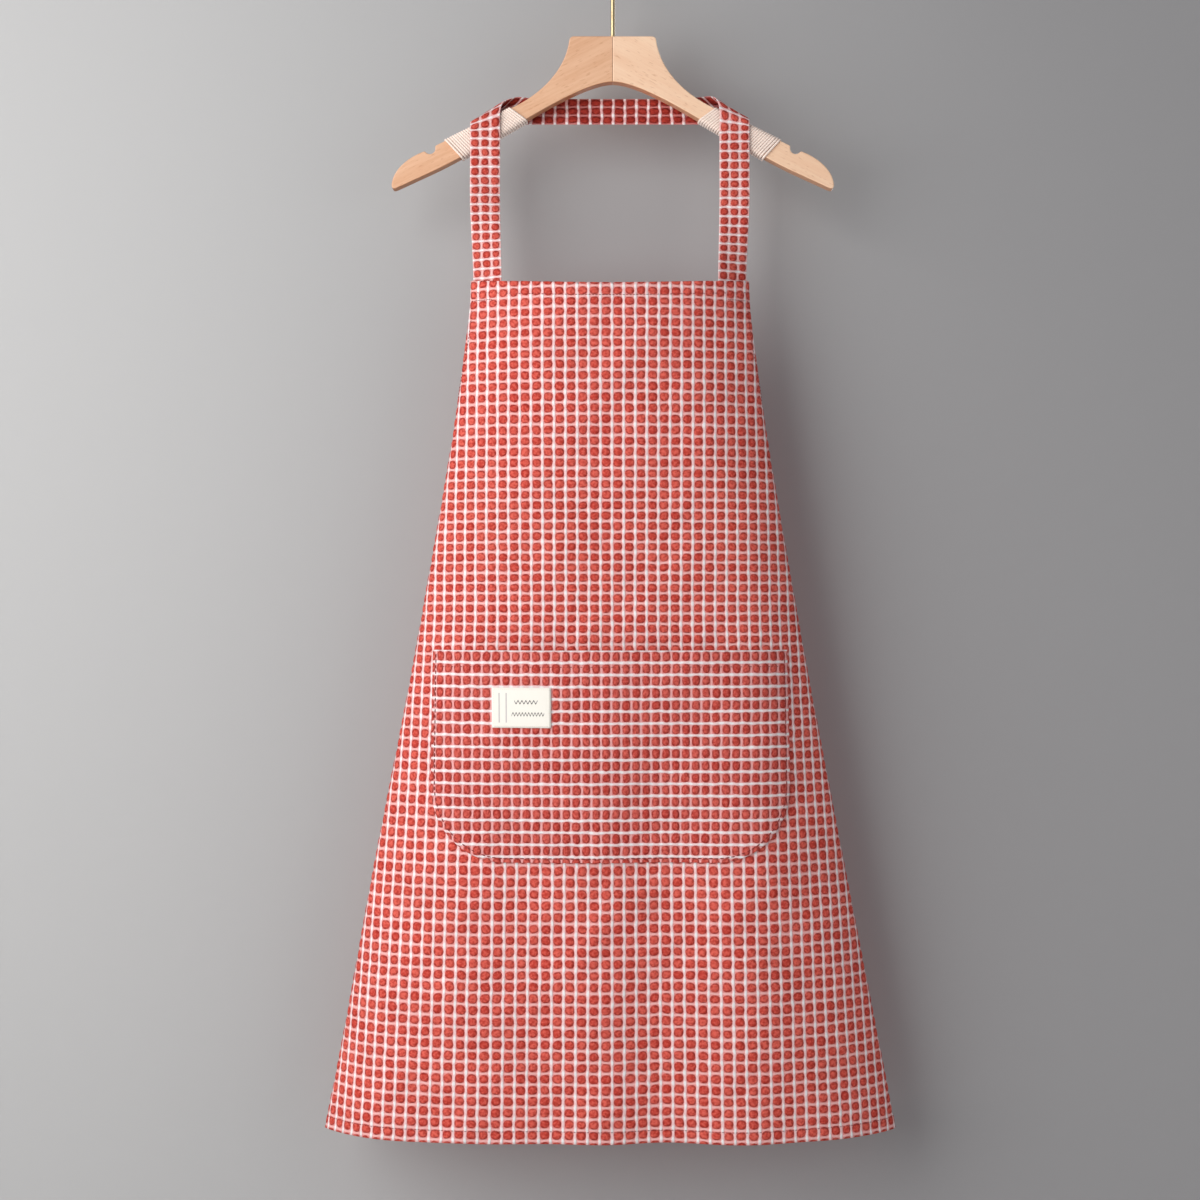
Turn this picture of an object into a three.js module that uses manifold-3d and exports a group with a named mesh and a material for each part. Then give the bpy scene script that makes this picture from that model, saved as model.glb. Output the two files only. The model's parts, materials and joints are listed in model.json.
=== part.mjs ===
// A check cotton bib apron hanging on a flat wooden clothes hanger with a brass wire hook.
// Millimetres, +Z up, +X to the wearer's left, +Y to the back. The origin is the rail seat:
// the inside top of the hook's bend, where a rail carries it.
import * as THREE from "three";
import { ConvexGeometry } from "three/addons/geometries/ConvexGeometry.js";
import { mergeVertices } from "three/addons/utils/BufferGeometryUtils.js";
import Module from "manifold-3d";

const wasm = await Module();
wasm.setup();

// ---- Driving dimensions --------------------------------------------------------------------

const GAP = 0.3; // between pieces that touch

// Hook
const WIRE_RADIUS = 2.1;
const BEND_RADIUS = 22; // centreline of the round bend
const NECK_BEND_RADIUS = 10; // where the shank leans out into the round bend
const BEND_TIP_ANGLE = 192; // the bend ends here, degrees anticlockwise from +X
const HOOK_HEIGHT = 92; // rail seat above the flat top of the wood
const SHANK_DEPTH = 26; // shank inside the wood
const PEEN_RADIUS = 3.3; // upset end that keeps the shank in its sleeve
const PEEN_LENGTH = 2.4;
const SLEEVE_WALL = 1.1;
const SHANK_CLEARANCE = 0.25;

// Hanger
const WOOD_THICKNESS = 14;
const WOOD_EDGE = 1; // rounded edge
const BLOCK_HALF_WIDTH = 43; // flat top of the middle block
const BLOCK_CORNER = 4;
const BLOCK_HEIGHT = 45.6; // flat top to the crown of the arch
const ARM_START = 95; // distance from the middle where the arm's straight top begins
const ARM_START_DROP = 68.5; // below the flat top
const ARM_SLOPE = 0.496; // fall of the arm's top edge
const NOTCH_FROM_TIP = 38.2;
const NOTCH_RADIUS = 5.6;
const ARM_TIP = 220.6; // half the hanger's length
const ARM_DEPTHS = [18.8, 25.3, 23.2]; // below the top edge: inner end, elbow, tip
const ELBOW_FROM_TIP = 60.6;
const TONGUE_THICKNESS = 4.6;
const TONGUE_LENGTH = 8;
const TONGUE_CLEARANCE = 0.2;

// Cord windings
const CORD_DIAMETER = 1.8;
const WINDING_START = 99.8; // on the arm's top edge
const WINDING_FROM_NOTCH = 15.3;
const WINDING_SLANT = 15; // how far the lower edge lies nearer the middle

// Apron cloth
const CLOTH = 1.2; // puckered cotton
const APRON_SHIFT = -3; // the apron hangs a little off the hanger's middle
const BIB_TOP = -337; // height of the bib's upper corners
const BIB_DIP = 7; // the top edge sags between the straps
const APRON_LENGTH = 844; // bib corner to hem
const BIB_HALF_CLOTH = 146; // half the bib's width, measured along the cloth
const SKIRT_HALF_CLOTH = 352; // half the skirt's width, measured along the cloth
const ARMHOLE_DEPTH = 300; // bib corner to the tie
const ARMHOLE_POWER = 2.4; // shape of the armhole's curve
const BIB_HALF_SPAN = 139; // half widths as it hangs
const HEM_HALF_SPAN = 284.7;
const SPAN_EASE = 16.5; // how much wider the bib stays than a straight taper
const SPAN_EASE_LENGTH = 110;
const HEM_FORWARD = 15.6; // the hem swings forward of the bib
const BIB_TURN = 0.62; // how far the cloth has turned back where the side fold starts, radians
const WAIST_TURN = 0.6;
const HEM_TURN = 0.9;
const BIB_TURN_POWER = 1.6; // how late the turning sets in, higher is later
const HEM_TURN_POWER = 3.5;
const FOLD_RADIUS = 13; // round fold from the front to the back
const WING_ANGLE = 0.1; // the folded back part leans away from the front, radians

// Neck strap, ties
const STRAP_WIDTH = 30;
const STRAP_THICKNESS = 2.4; // two layers of cloth
const STRAP_TUCK = 26; // sewn behind the bib
const STRAP_BACK_TOP = -148.5; // upper edge of the level stretch behind the hanger
const TIE_WIDTH = 30;
const TIE_THICKNESS = 2;
const TIE_TAIL = 420;
const BOW_LOOP = 82; // reach of each loop
const KNOT_HALF_SIZE = [12, 9, 13];

// Pocket and label
const POCKET_HALF_WIDTH = 177;
const POCKET_TOP = 366; // below the bib's corners
const POCKET_DEPTH = 206;
const POCKET_CORNER = 75;
const POCKET_CLOTH = 1;
const POCKET_BULGE = 9; // the mouth stands open this far in the middle
const LABEL_LEFT = -114;
const LABEL_WIDTH = 57;
const LABEL_TOP = 402;
const LABEL_HEIGHT = 39;
const LABEL_THICKNESS = 0.6;

// Sewing thread
const THREAD = 0.8;
const SEAM_INSET = 4; // a line of stitches lies this far inside its edge
const SEAM_EASE = 0.4; // sewn layers stand this much apart on a curve

// ---- Colours -------------------------------------------------------------------------------

const finish = (color, roughness, metalness = 0) =>
  new THREE.MeshStandardMaterial({ color, roughness, metalness });
const BRASS = finish(0xcaa964, 0.28, 1);
const BEECH_LEFT = finish(0xe7ba9a, 0.5);
const BEECH_RIGHT = finish(0xf0c9aa, 0.5);
const CORD = finish(0xf5e3d6, 0.9);
const CHECK = finish(0xd0706c, 0.9);
const CREAM = finish(0xe9dfcf, 0.9);
const RED_THREAD = finish(0x8f2a26, 0.8);

// ---- Helpers -------------------------------------------------------------------------------

const apron = new THREE.Group();

function addPart(name, geometry, material) {
  const mesh = new THREE.Mesh(geometry, material);
  mesh.name = name;
  apron.add(mesh);
}

// A closed geometry as a manifold solid, and back.
function toSolid(geometry) {
  const bare = geometry.index ? geometry.toNonIndexed() : geometry.clone();
  bare.deleteAttribute("normal");
  bare.deleteAttribute("uv");
  const merged = mergeVertices(bare, 1e-4);
  return new wasm.Manifold(
    new wasm.Mesh({
      numProp: 3,
      vertProperties: merged.attributes.position.array,
      triVerts: new Uint32Array(merged.index.array),
    }),
  );
}

function toGeometry(solid) {
  const mesh = solid.getMesh();
  const geometry = new THREE.BufferGeometry();
  geometry.setAttribute("position", new THREE.BufferAttribute(mesh.vertProperties, 3));
  geometry.setIndex(new THREE.BufferAttribute(mesh.triVerts, 1));
  return geometry;
}

function box(low, high) {
  const size = high.map((value, axis) => value - low[axis]);
  const geometry = new THREE.BoxGeometry(...size);
  return geometry.translate(...low.map((value, axis) => value + size[axis] / 2));
}

const mix = (a, b, share) => a + (b - a) * share;
const ease = (share) => {
  const t = Math.min(Math.max(share, 0), 1);
  return t * t * (3 - 2 * t);
};

// A thin closed solid along a surface. place(u, v) gives { point, normal } for u, v from 0 to 1,
// and the solid reaches half its thickness to each side of the surface.
function thinSolid(place, columns, rows, thickness) {
  const position = [];
  for (const side of [1, -1])
    for (let row = 0; row <= rows; row++)
      for (let column = 0; column <= columns; column++) {
        const { point, normal } = place(column / columns, row / rows);
        position.push(...point.clone().addScaledVector(normal, (side * thickness) / 2));
      }
  const layer = (columns + 1) * (rows + 1);
  const at = (column, row, back) => back * layer + row * (columns + 1) + column;
  const index = [];
  const quad = (a, b, c, d) => index.push(a, b, c, a, c, d);
  for (let row = 0; row < rows; row++)
    for (let column = 0; column < columns; column++) {
      const corner = (back) => [
        at(column, row, back),
        at(column + 1, row, back),
        at(column + 1, row + 1, back),
        at(column, row + 1, back),
      ];
      // The diagonals of the two halves mirror each other.
      const front = column < columns / 2 ? [1, 2, 3, 0] : [0, 1, 2, 3];
      const back = column < columns / 2 ? [1, 0, 3, 2] : [0, 3, 2, 1];
      quad(...front.map((place) => corner(0)[place]));
      quad(...back.map((place) => corner(1)[place]));
    }
  for (let column = 0; column < columns; column++) {
    quad(at(column, 0, 0), at(column, 0, 1), at(column + 1, 0, 1), at(column + 1, 0, 0));
    quad(at(column + 1, rows, 0), at(column + 1, rows, 1), at(column, rows, 1), at(column, rows, 0));
  }
  for (let row = 0; row < rows; row++) {
    quad(at(0, row + 1, 0), at(0, row + 1, 1), at(0, row, 1), at(0, row, 0));
    quad(at(columns, row, 0), at(columns, row, 1), at(columns, row + 1, 1), at(columns, row + 1, 0));
  }
  const geometry = new THREE.BufferGeometry();
  geometry.setAttribute("position", new THREE.Float32BufferAttribute(position, 3));
  geometry.setIndex(index);
  const turned = toSolid(geometry).volume() < 0;
  if (turned) geometry.setIndex(index.slice().reverse());
  return geometry;
}

// A flat band between two edge curves.
function band(edgeA, edgeB, steps, thickness) {
  const place = (u, v) => {
    const a = edgeA.getPoint(u);
    const b = edgeB.getPoint(u);
    const ahead = Math.min(u + 0.004, 1);
    const behind = Math.max(u - 0.004, 0);
    const along = edgeA.getPoint(ahead).add(edgeB.getPoint(ahead));
    along.sub(edgeA.getPoint(behind)).sub(edgeB.getPoint(behind));
    const normal = along.cross(b.clone().sub(a)).normalize();
    return { point: a.lerp(b, v), normal };
  };
  return thinSolid(place, steps, 2, thickness);
}

// A sewing thread, straight from each point to the next.
function threadLine(points, steps) {
  const half = THREAD / 2;
  const section = new THREE.Shape([
    new THREE.Vector2(-half, -half),
    new THREE.Vector2(half, -half),
    new THREE.Vector2(half, half),
    new THREE.Vector2(-half, half),
  ]);
  const path = new THREE.CurvePath();
  for (let step = 1; step < points.length; step++)
    path.add(new THREE.LineCurve3(points[step - 1], points[step]));
  return new THREE.ExtrudeGeometry(section, { steps, bevelEnabled: false, extrudePath: path });
}

// ---- Hook ----------------------------------------------------------------------------------

const woodTop = -HOOK_HEIGHT;
const bendCentre = WIRE_RADIUS - BEND_RADIUS; // height of the round bend's centre

// Points on the wire's centreline, from the shank's lower end to the bend's tip.
function hookPoints() {
  // The neck bend leans out until it is tangent to the round bend.
  const lean = Math.acos(NECK_BEND_RADIUS / (BEND_RADIUS + NECK_BEND_RADIUS));
  const neckTop = bendCentre - BEND_RADIUS * Math.sin(lean);
  const neckBottom = neckTop - NECK_BEND_RADIUS * Math.sin(lean);
  const points = [
    new THREE.Vector3(0, 0, woodTop - SHANK_DEPTH),
    new THREE.Vector3(0, 0, neckBottom - 0.5),
  ];
  const arc = (x, z, radius, from, to, steps) => {
    for (let step = 0; step <= steps; step++) {
      const angle = mix(from, to, step / steps);
      points.push(new THREE.Vector3(x + radius * Math.cos(angle), 0, z + radius * Math.sin(angle)));
    }
  };
  arc(NECK_BEND_RADIUS, neckBottom, NECK_BEND_RADIUS, Math.PI, Math.PI - lean, 5);
  points.pop();
  arc(0, bendCentre, BEND_RADIUS, -lean, (BEND_TIP_ANGLE * Math.PI) / 180, 26);
  return points;
}

// The wire: rings of vertices round the centreline, a rounded tip and an upset lower end.
function hookWire() {
  const SIDES = 12;
  const points = hookPoints();
  const rings = [];
  const addRing = (centre, along, radius) => {
    const across = new THREE.Vector3(0, 1, 0);
    const outward = across.clone().cross(along).normalize();
    rings.push({ centre, across, outward, radius });
  };
  const up = new THREE.Vector3(0, 0, 1);
  const bottom = points[0];
  const below = (drop) => bottom.clone().addScaledVector(up, -drop);
  addRing(below(PEEN_LENGTH), up, PEEN_RADIUS * 0.8);
  addRing(below(PEEN_LENGTH * 0.75), up, PEEN_RADIUS);
  addRing(below(PEEN_LENGTH * 0.25), up, PEEN_RADIUS);
  addRing(below(0), up, WIRE_RADIUS);
  for (let step = 1; step < points.length; step++) {
    const next = points[Math.min(step + 1, points.length - 1)];
    addRing(points[step], next.clone().sub(points[step - 1]).normalize(), WIRE_RADIUS);
  }
  const last = points.length - 1;
  const tipWay = points[last].clone().sub(points[last - 1]).normalize();
  for (const angle of [0.5, 1, 1.35]) {
    const centre = points[last].clone().addScaledVector(tipWay, WIRE_RADIUS * Math.sin(angle));
    addRing(centre, tipWay, WIRE_RADIUS * Math.cos(angle));
  }
  const position = [];
  for (const { centre, across, outward, radius } of rings)
    for (let side = 0; side < SIDES; side++) {
      const angle = (2 * Math.PI * side) / SIDES;
      const vertex = centre.clone().addScaledVector(outward, radius * Math.cos(angle));
      position.push(...vertex.addScaledVector(across, radius * Math.sin(angle)));
    }
  const index = [];
  for (let ring = 0; ring + 1 < rings.length; ring++)
    for (let side = 0; side < SIDES; side++) {
      const next = (side + 1) % SIDES;
      const [a, b] = [ring * SIDES + side, ring * SIDES + next];
      index.push(a, b, b + SIDES, a, b + SIDES, a + SIDES);
    }
  const end = (rings.length - 1) * SIDES;
  for (let side = 1; side + 1 < SIDES; side++) {
    index.push(0, side + 1, side);
    index.push(end, end + side, end + side + 1);
  }
  const geometry = new THREE.BufferGeometry();
  geometry.setAttribute("position", new THREE.Float32BufferAttribute(position, 3));
  geometry.setIndex(index);
  return geometry;
}

const sleeveInner = WIRE_RADIUS + SHANK_CLEARANCE;
const sleeveOuter = sleeveInner + SLEEVE_WALL;
const sleeveLength = SHANK_DEPTH - PEEN_LENGTH / 2;

function swivelSleeve() {
  const low = woodTop - sleeveLength;
  const high = woodTop - GAP;
  const profile = [
    [sleeveInner, low],
    [sleeveOuter, low],
    [sleeveOuter, high],
    [sleeveInner, high],
    [sleeveInner, low],
  ].map(([radius, height]) => new THREE.Vector2(radius, height));
  return new THREE.LatheGeometry(profile, 20).rotateX(Math.PI / 2);
}

// ---- Hanger --------------------------------------------------------------------------------

// Heights of an arm's upper and lower edge at a distance from the middle.
const armTop = (x) => woodTop - ARM_START_DROP - ARM_SLOPE * (Math.abs(x) - ARM_START);
const armInner = ARM_START - 9;
const armElbow = ARM_TIP - ELBOW_FROM_TIP;
const armOuter = ARM_TIP - 3.6;
function armBottom(x) {
  const beforeElbow = Math.abs(x) < armElbow;
  const [from, to] = beforeElbow ? [armInner, armElbow] : [armElbow, armOuter];
  const [depthFrom, depthTo] = beforeElbow ? ARM_DEPTHS.slice(0, 2) : ARM_DEPTHS.slice(1);
  return armTop(x) - mix(depthFrom, depthTo, (Math.abs(x) - from) / (to - from));
}

const notchMiddle = ARM_TIP - NOTCH_FROM_TIP;

// One half of the hanger's outline, to the right of the middle, closed on the glue line.
function halfOutline() {
  const shape = new THREE.Shape();
  const glue = GAP / 2;
  const crown = woodTop - BLOCK_HEIGHT;
  const flank = woodTop - BLOCK_CORNER;
  const notchTurn = Math.atan(ARM_SLOPE);
  const notchEnd = notchMiddle + NOTCH_RADIUS * Math.cos(notchTurn);
  shape.moveTo(glue, woodTop);
  shape.lineTo(BLOCK_HALF_WIDTH - BLOCK_CORNER, woodTop);
  shape.quadraticCurveTo(BLOCK_HALF_WIDTH, woodTop, BLOCK_HALF_WIDTH + 0.4, flank);
  shape.bezierCurveTo(
    BLOCK_HALF_WIDTH + 4,
    woodTop - 30,
    mix(BLOCK_HALF_WIDTH, ARM_START, 0.44),
    armTop(ARM_START) + 15.5,
    ARM_START,
    armTop(ARM_START),
  );
  const [notchFrom, notchTo] = [Math.PI - notchTurn, -notchTurn];
  shape.absarc(notchMiddle, armTop(notchMiddle), NOTCH_RADIUS, notchFrom, notchTo, false);
  shape.lineTo(notchEnd + 3, armTop(notchEnd) - 1.3);
  shape.bezierCurveTo(
    mix(notchEnd, ARM_TIP, 0.55),
    armTop(notchEnd) - 7.5,
    ARM_TIP - 1,
    armBottom(ARM_TIP) + 20,
    ARM_TIP,
    armBottom(ARM_TIP) + 5.5,
  );
  shape.quadraticCurveTo(ARM_TIP, armBottom(ARM_TIP), ARM_TIP - 5, armBottom(ARM_TIP - 5));
  shape.lineTo(armElbow + 22, armBottom(armElbow + 22));
  const elbowEnd = armElbow - 34;
  shape.quadraticCurveTo(armElbow, armBottom(armElbow), elbowEnd, armBottom(elbowEnd));
  shape.lineTo(armInner, armBottom(armInner));
  shape.quadraticCurveTo(24, crown, glue, crown);
  return shape;
}

function hangerHalf(side) {
  const plate = new THREE.ExtrudeGeometry(halfOutline(), {
    depth: WOOD_THICKNESS - 2 * WOOD_EDGE,
    curveSegments: 10,
    bevelThickness: WOOD_EDGE,
    bevelSize: WOOD_EDGE,
    bevelOffset: -WOOD_EDGE,
    bevelSegments: 2,
  });
  plate.rotateX(Math.PI / 2).translate(0, WOOD_THICKNESS / 2 - WOOD_EDGE, 0);
  if (side < 0) plate.rotateZ(Math.PI);
  // The bevel also rounded the glue face, so a square-edged block fills it up to the glue line.
  const inset = 4;
  const half = WOOD_THICKNESS / 2;
  const glueBlock = new THREE.Shape([
    new THREE.Vector2(GAP / 2, woodTop - BLOCK_HEIGHT + WOOD_EDGE * 0.3),
    new THREE.Vector2(inset, woodTop - BLOCK_HEIGHT + WOOD_EDGE * 0.3),
    new THREE.Vector2(inset, woodTop - WOOD_EDGE * 0.3),
    new THREE.Vector2(GAP / 2, woodTop - WOOD_EDGE * 0.3),
  ]);
  const filler = new THREE.ExtrudeGeometry(glueBlock, { depth: 2 * half, bevelEnabled: false });
  filler.rotateX(Math.PI / 2).translate(0, half, 0);
  if (side < 0) filler.rotateZ(Math.PI);
  let solid = toSolid(plate).add(toSolid(filler));
  // Bore for the sleeve and the shank's upset end.
  const boreLength = SHANK_DEPTH + PEEN_LENGTH + 2;
  const bore = new THREE.CylinderGeometry(sleeveOuter + GAP, sleeveOuter + GAP, boreLength + 2, 20);
  bore.rotateX(Math.PI / 2).translate(0, 0, woodTop + 1 - boreLength / 2);
  solid = solid.subtract(toSolid(bore));
  // Hidden tongue on the left half, its groove in the right half.
  const tongueHigh = woodTop - boreLength - 3;
  const tongueLow = woodTop - BLOCK_HEIGHT + 3;
  const thick = TONGUE_THICKNESS / 2;
  if (side < 0) {
    const tongue = box([-2, -thick, tongueLow], [TONGUE_LENGTH, thick, tongueHigh]);
    return toGeometry(solid.add(toSolid(tongue)));
  }
  const room = TONGUE_CLEARANCE;
  const groove = box(
    [-2, -thick - room, tongueLow - room],
    [TONGUE_LENGTH + room, thick + room, tongueHigh + room],
  );
  return toGeometry(solid.subtract(toSolid(groove)));
}

// ---- Cord windings -------------------------------------------------------------------------

const windingClear = CORD_DIAMETER + GAP;
const windingEnd = notchMiddle - WINDING_FROM_NOTCH;

// A rounded sleeve round one arm, cut square-edged at both ends along the slant of the turns.
function cordWinding(side) {
  const ends = [
    [WINDING_START, WINDING_START - WINDING_SLANT],
    [windingEnd, windingEnd - WINDING_SLANT],
  ];
  const half = WOOD_THICKNESS / 2;
  const hull = (grow, round, longer) => {
    const points = [];
    ends.forEach(([topX, lowX], end) => {
      const shift = end === 0 ? -longer : longer;
      const high = [topX + shift, armTop(topX + shift)];
      const low = [lowX + shift, armBottom(lowX + shift)];
      const centre = [(high[0] + low[0]) / 2, (high[1] + low[1]) / 2];
      for (const [x, z] of [high, low]) {
        const length = Math.hypot(x - centre[0], z - centre[1]);
        const way = [(x - centre[0]) / length, (z - centre[1]) / length];
        for (const face of [1, -1])
          for (const turn of round) {
            const out = length + grow * Math.cos(turn);
            const y = face * (half + grow * Math.sin(turn));
            points.push(
              new THREE.Vector3(side * (centre[0] + way[0] * out), y, centre[1] + way[1] * out),
            );
          }
      }
    });
    return toSolid(new ConvexGeometry(points));
  };
  const outer = hull(windingClear, [0, Math.PI / 6, Math.PI / 3, Math.PI / 2], 0);
  const inner = hull(GAP, [0, Math.PI / 2], 1); // longer, so that it opens both ends
  return toGeometry(outer.subtract(inner));
}

// ---- Apron cloth ---------------------------------------------------------------------------

// Everything about one level of the apron, "down" millimetres below the bib's corners.
function level(down) {
  const share = down / APRON_LENGTH;
  const taper = (HEM_HALF_SPAN - BIB_HALF_SPAN + SPAN_EASE) / APRON_LENGTH;
  const eased = SPAN_EASE * (1 - Math.exp(-down / SPAN_EASE_LENGTH));
  const span = BIB_HALF_SPAN + taper * down - eased;
  const armhole = Math.min(down / ARMHOLE_DEPTH, 1) ** ARMHOLE_POWER;
  const cloth = mix(BIB_HALF_CLOTH, SKIRT_HALF_CLOTH, armhole);
  const waist = ARMHOLE_DEPTH / APRON_LENGTH;
  const turn =
    share < waist
      ? mix(BIB_TURN, WAIST_TURN, share / waist)
      : mix(WAIST_TURN, HEM_TURN, (share - waist) / (1 - waist));
  const power = mix(BIB_TURN_POWER, HEM_TURN_POWER, share);
  const fold = mix(4, FOLD_RADIUS, ease(down / 150));
  // The share of the turning stretch's length that shows as width.
  const shown = 1 - turn ** 2 / (2 * (2 * power + 1)) + turn ** 4 / (24 * (4 * power + 1));
  const front = Math.min((span - fold * (1 - Math.sin(turn))) / shown, cloth - 3);
  return { cloth, turn, power, fold, front, start: bibFront - HEM_FORWARD * share };
}

// Heading of the cloth, radians, at a distance along it from the middle.
function heading(at, { turn, power, fold, front }) {
  if (at <= front) return turn * (at / front) ** power;
  return Math.min(turn + (at - front) / fold, Math.PI - WING_ANGLE);
}

// The middle of the bib's top edge, from the strap's depth in front of the hanger.
const woodFront = -WOOD_THICKNESS / 2;
const strapFront = woodFront - windingClear - GAP - STRAP_THICKNESS / 2;
const bibCorner = strapFront - STRAP_THICKNESS / 2 - GAP - CLOTH / 2;
const bibSagitta =
  BIB_HALF_CLOTH *
  (BIB_TURN / (BIB_TURN_POWER + 1) - BIB_TURN ** 3 / (6 * (3 * BIB_TURN_POWER + 1)));
const bibFront = bibCorner - bibSagitta;

// A point of the apron's cloth: "across" along the cloth from the middle line, "down" below the
// bib's corners, "out" in front of its middle surface.
function clothPlace(across, down, out = 0) {
  const here = level(down);
  const side = Math.sign(across) || 1;
  const reach = Math.abs(across);
  const STEP = 3;
  let x = 0;
  let y = here.start;
  const steps = Math.ceil(reach / STEP);
  for (let step = 0; step < steps; step++) {
    const angle = heading(((step + 0.5) * reach) / steps, here);
    x += (Math.cos(angle) * reach) / steps;
    y += (Math.sin(angle) * reach) / steps;
  }
  const angle = heading(reach, here);
  const normal = new THREE.Vector3(side * Math.sin(angle), -Math.cos(angle), 0);
  const point = new THREE.Vector3(APRON_SHIFT + side * x, y, BIB_TOP - down);
  return { point: point.addScaledVector(normal, out), normal };
}

// Distance along the cloth of a body column, -1 to 1.
const FRONT_SHARE = 0.56; // of the columns lie on the front
function columnAcross(column, down) {
  const { front, cloth } = level(down);
  const reach = Math.abs(column);
  const beyond = (reach - FRONT_SHARE) / (1 - FRONT_SHARE);
  const across =
    reach <= FRONT_SHARE ? (front * reach) / FRONT_SHARE : mix(front, cloth, beyond ** 1.4);
  return Math.sign(column) * across;
}

const BODY_COLUMNS = 50;
const BODY_ROWS = 20;

// The bib's top edge sags between its corners.
const bibTopAt = (column) => BIB_DIP * (1 - Math.min(Math.abs(column) / FRONT_SHARE, 1) ** 2);

function bodyPanel() {
  const place = (u, v) => {
    const column = 2 * u - 1;
    const down = mix(bibTopAt(column), APRON_LENGTH, v);
    return clothPlace(columnAcross(column, down), down);
  };
  return thinSolid(place, BODY_COLUMNS, BODY_ROWS, CLOTH);
}

// ---- Neck strap ----------------------------------------------------------------------------

const windingTop = (x) => armTop(x) + windingClear / Math.cos(Math.atan(ARM_SLOPE));
const strapBack = WOOD_THICKNESS / 2 + windingClear + GAP + STRAP_THICKNESS / 2;

const strapOuter = level(0).front + 2; // along the bib's cloth from the middle line

// The strap's two edges from the bib's corner on one side to the middle behind the hanger.
function strapEdges(side) {
  const behindBib = -(CLOTH / 2 + GAP + STRAP_THICKNESS / 2 + SEAM_EASE);
  const outerAcross = side * strapOuter;
  const innerAcross = side * (strapOuter - STRAP_WIDTH);
  const outerX = APRON_SHIFT + side * BIB_HALF_SPAN;
  const innerX = outerX - side * STRAP_WIDTH;
  const V = (x, y, z) => new THREE.Vector3(x, y, z);
  const outerTop = windingTop(outerX);
  const innerTop = windingTop(innerX);
  const over = STRAP_THICKNESS / 2 + GAP + 0.6;
  const backLow = STRAP_BACK_TOP - STRAP_WIDTH + 2.6;
  const outer = [
    clothPlace(outerAcross, STRAP_TUCK, behindBib).point,
    clothPlace(outerAcross, 2, behindBib).point,
    V(outerX, strapFront - 0.4, mix(armBottom(outerX), BIB_TOP, 0.4)),
    V(outerX, strapFront - 0.2, armBottom(outerX) - 6),
    V(outerX, strapFront, outerTop - 8),
    V(outerX, strapFront * 0.97, outerTop + 1),
    V(outerX - side * 0.5, 0, outerTop + over + 2.6),
    V(outerX - side * 6, strapBack * 0.98, outerTop + 2.6),
    V(outerX - side * 16, strapBack + 0.4, mix(outerTop, backLow, 0.6)),
    V(outerX - side * 34, strapBack + 0.4, backLow),
    V(APRON_SHIFT + side * 50, strapBack + 0.4, backLow),
  ];
  const inner = [
    clothPlace(innerAcross, STRAP_TUCK, behindBib).point,
    clothPlace(innerAcross, 2, behindBib).point,
    V(innerX, strapFront - 0.4, mix(armBottom(outerX), BIB_TOP, 0.4)),
    V(innerX, strapFront - 0.2, armBottom(outerX) - 6),
    V(innerX, strapFront, outerTop - 8),
    V(innerX, strapFront - 0.3, innerTop - 2),
    V(innerX - side * 2.5, strapFront * 0.5, innerTop + 8.5),
    V(innerX - side * 8, strapBack * 0.3, innerTop + 14),
    V(innerX - side * 17, strapBack * 1.1, STRAP_BACK_TOP + 0.5),
    V(innerX - side * 30, strapBack + 5, STRAP_BACK_TOP),
    V(APRON_SHIFT + side * 50, strapBack + 7, STRAP_BACK_TOP),
  ];
  return { outer, inner };
}

function neckStrap() {
  const left = strapEdges(-1);
  const right = strapEdges(1);
  const join = (a, b) => new THREE.CatmullRomCurve3([...a, ...b.reverse()], false, "centripetal");
  return band(join(left.inner, right.inner), join(left.outer, right.outer), 84, STRAP_THICKNESS);
}

// ---- Pocket and label ----------------------------------------------------------------------

const pocketBottom = POCKET_TOP + POCKET_DEPTH;

// How far the pocket's middle surface lies in front of the body's.
function pocketOut(across, down) {
  const side = Math.min(Math.abs(across) / POCKET_HALF_WIDTH, 1);
  const height = Math.min(Math.max((pocketBottom - down) / POCKET_DEPTH, 0), 1);
  const bulge = POCKET_BULGE * (1 - side ** 2) * ease(height * 1.1) ** 1.2;
  return CLOTH / 2 + GAP + SEAM_EASE + POCKET_CLOTH / 2 + bulge;
}

function pocket() {
  const place = (u, v) => {
    const straight = 0.5;
    let down = mix(POCKET_TOP, pocketBottom - POCKET_CORNER, v / straight);
    let halfWidth = POCKET_HALF_WIDTH;
    if (v > straight) {
      const angle = (((v - straight) / (1 - straight)) * Math.PI) / 2;
      down = pocketBottom - POCKET_CORNER * (1 - Math.sin(angle));
      halfWidth = POCKET_HALF_WIDTH - POCKET_CORNER * (1 - Math.cos(angle));
    }
    const across = (2 * u - 1) * halfWidth;
    return clothPlace(across, down, pocketOut(across, down));
  };
  return thinSolid(place, 22, 10, POCKET_CLOTH);
}

const labelOut = (across, down) =>
  pocketOut(across, down) + POCKET_CLOTH / 2 + GAP + 0.1 + LABEL_THICKNESS / 2;

function label() {
  const place = (u, v) => {
    const across = LABEL_LEFT + LABEL_WIDTH * u;
    const down = LABEL_TOP + LABEL_HEIGHT * v;
    return clothPlace(across, down, labelOut(across, down));
  };
  return thinSolid(place, 6, 4, LABEL_THICKNESS);
}

// ---- Waist ties ----------------------------------------------------------------------------

const tieDown = ARMHOLE_DEPTH + TIE_WIDTH / 2 + SEAM_INSET; // height of the sewn ends

const knotPlace = () => {
  const edge = clothPlace(SKIRT_HALF_CLOTH, tieDown).point;
  return new THREE.Vector3(APRON_SHIFT, edge.y + 8, edge.z - 10);
};

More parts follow.
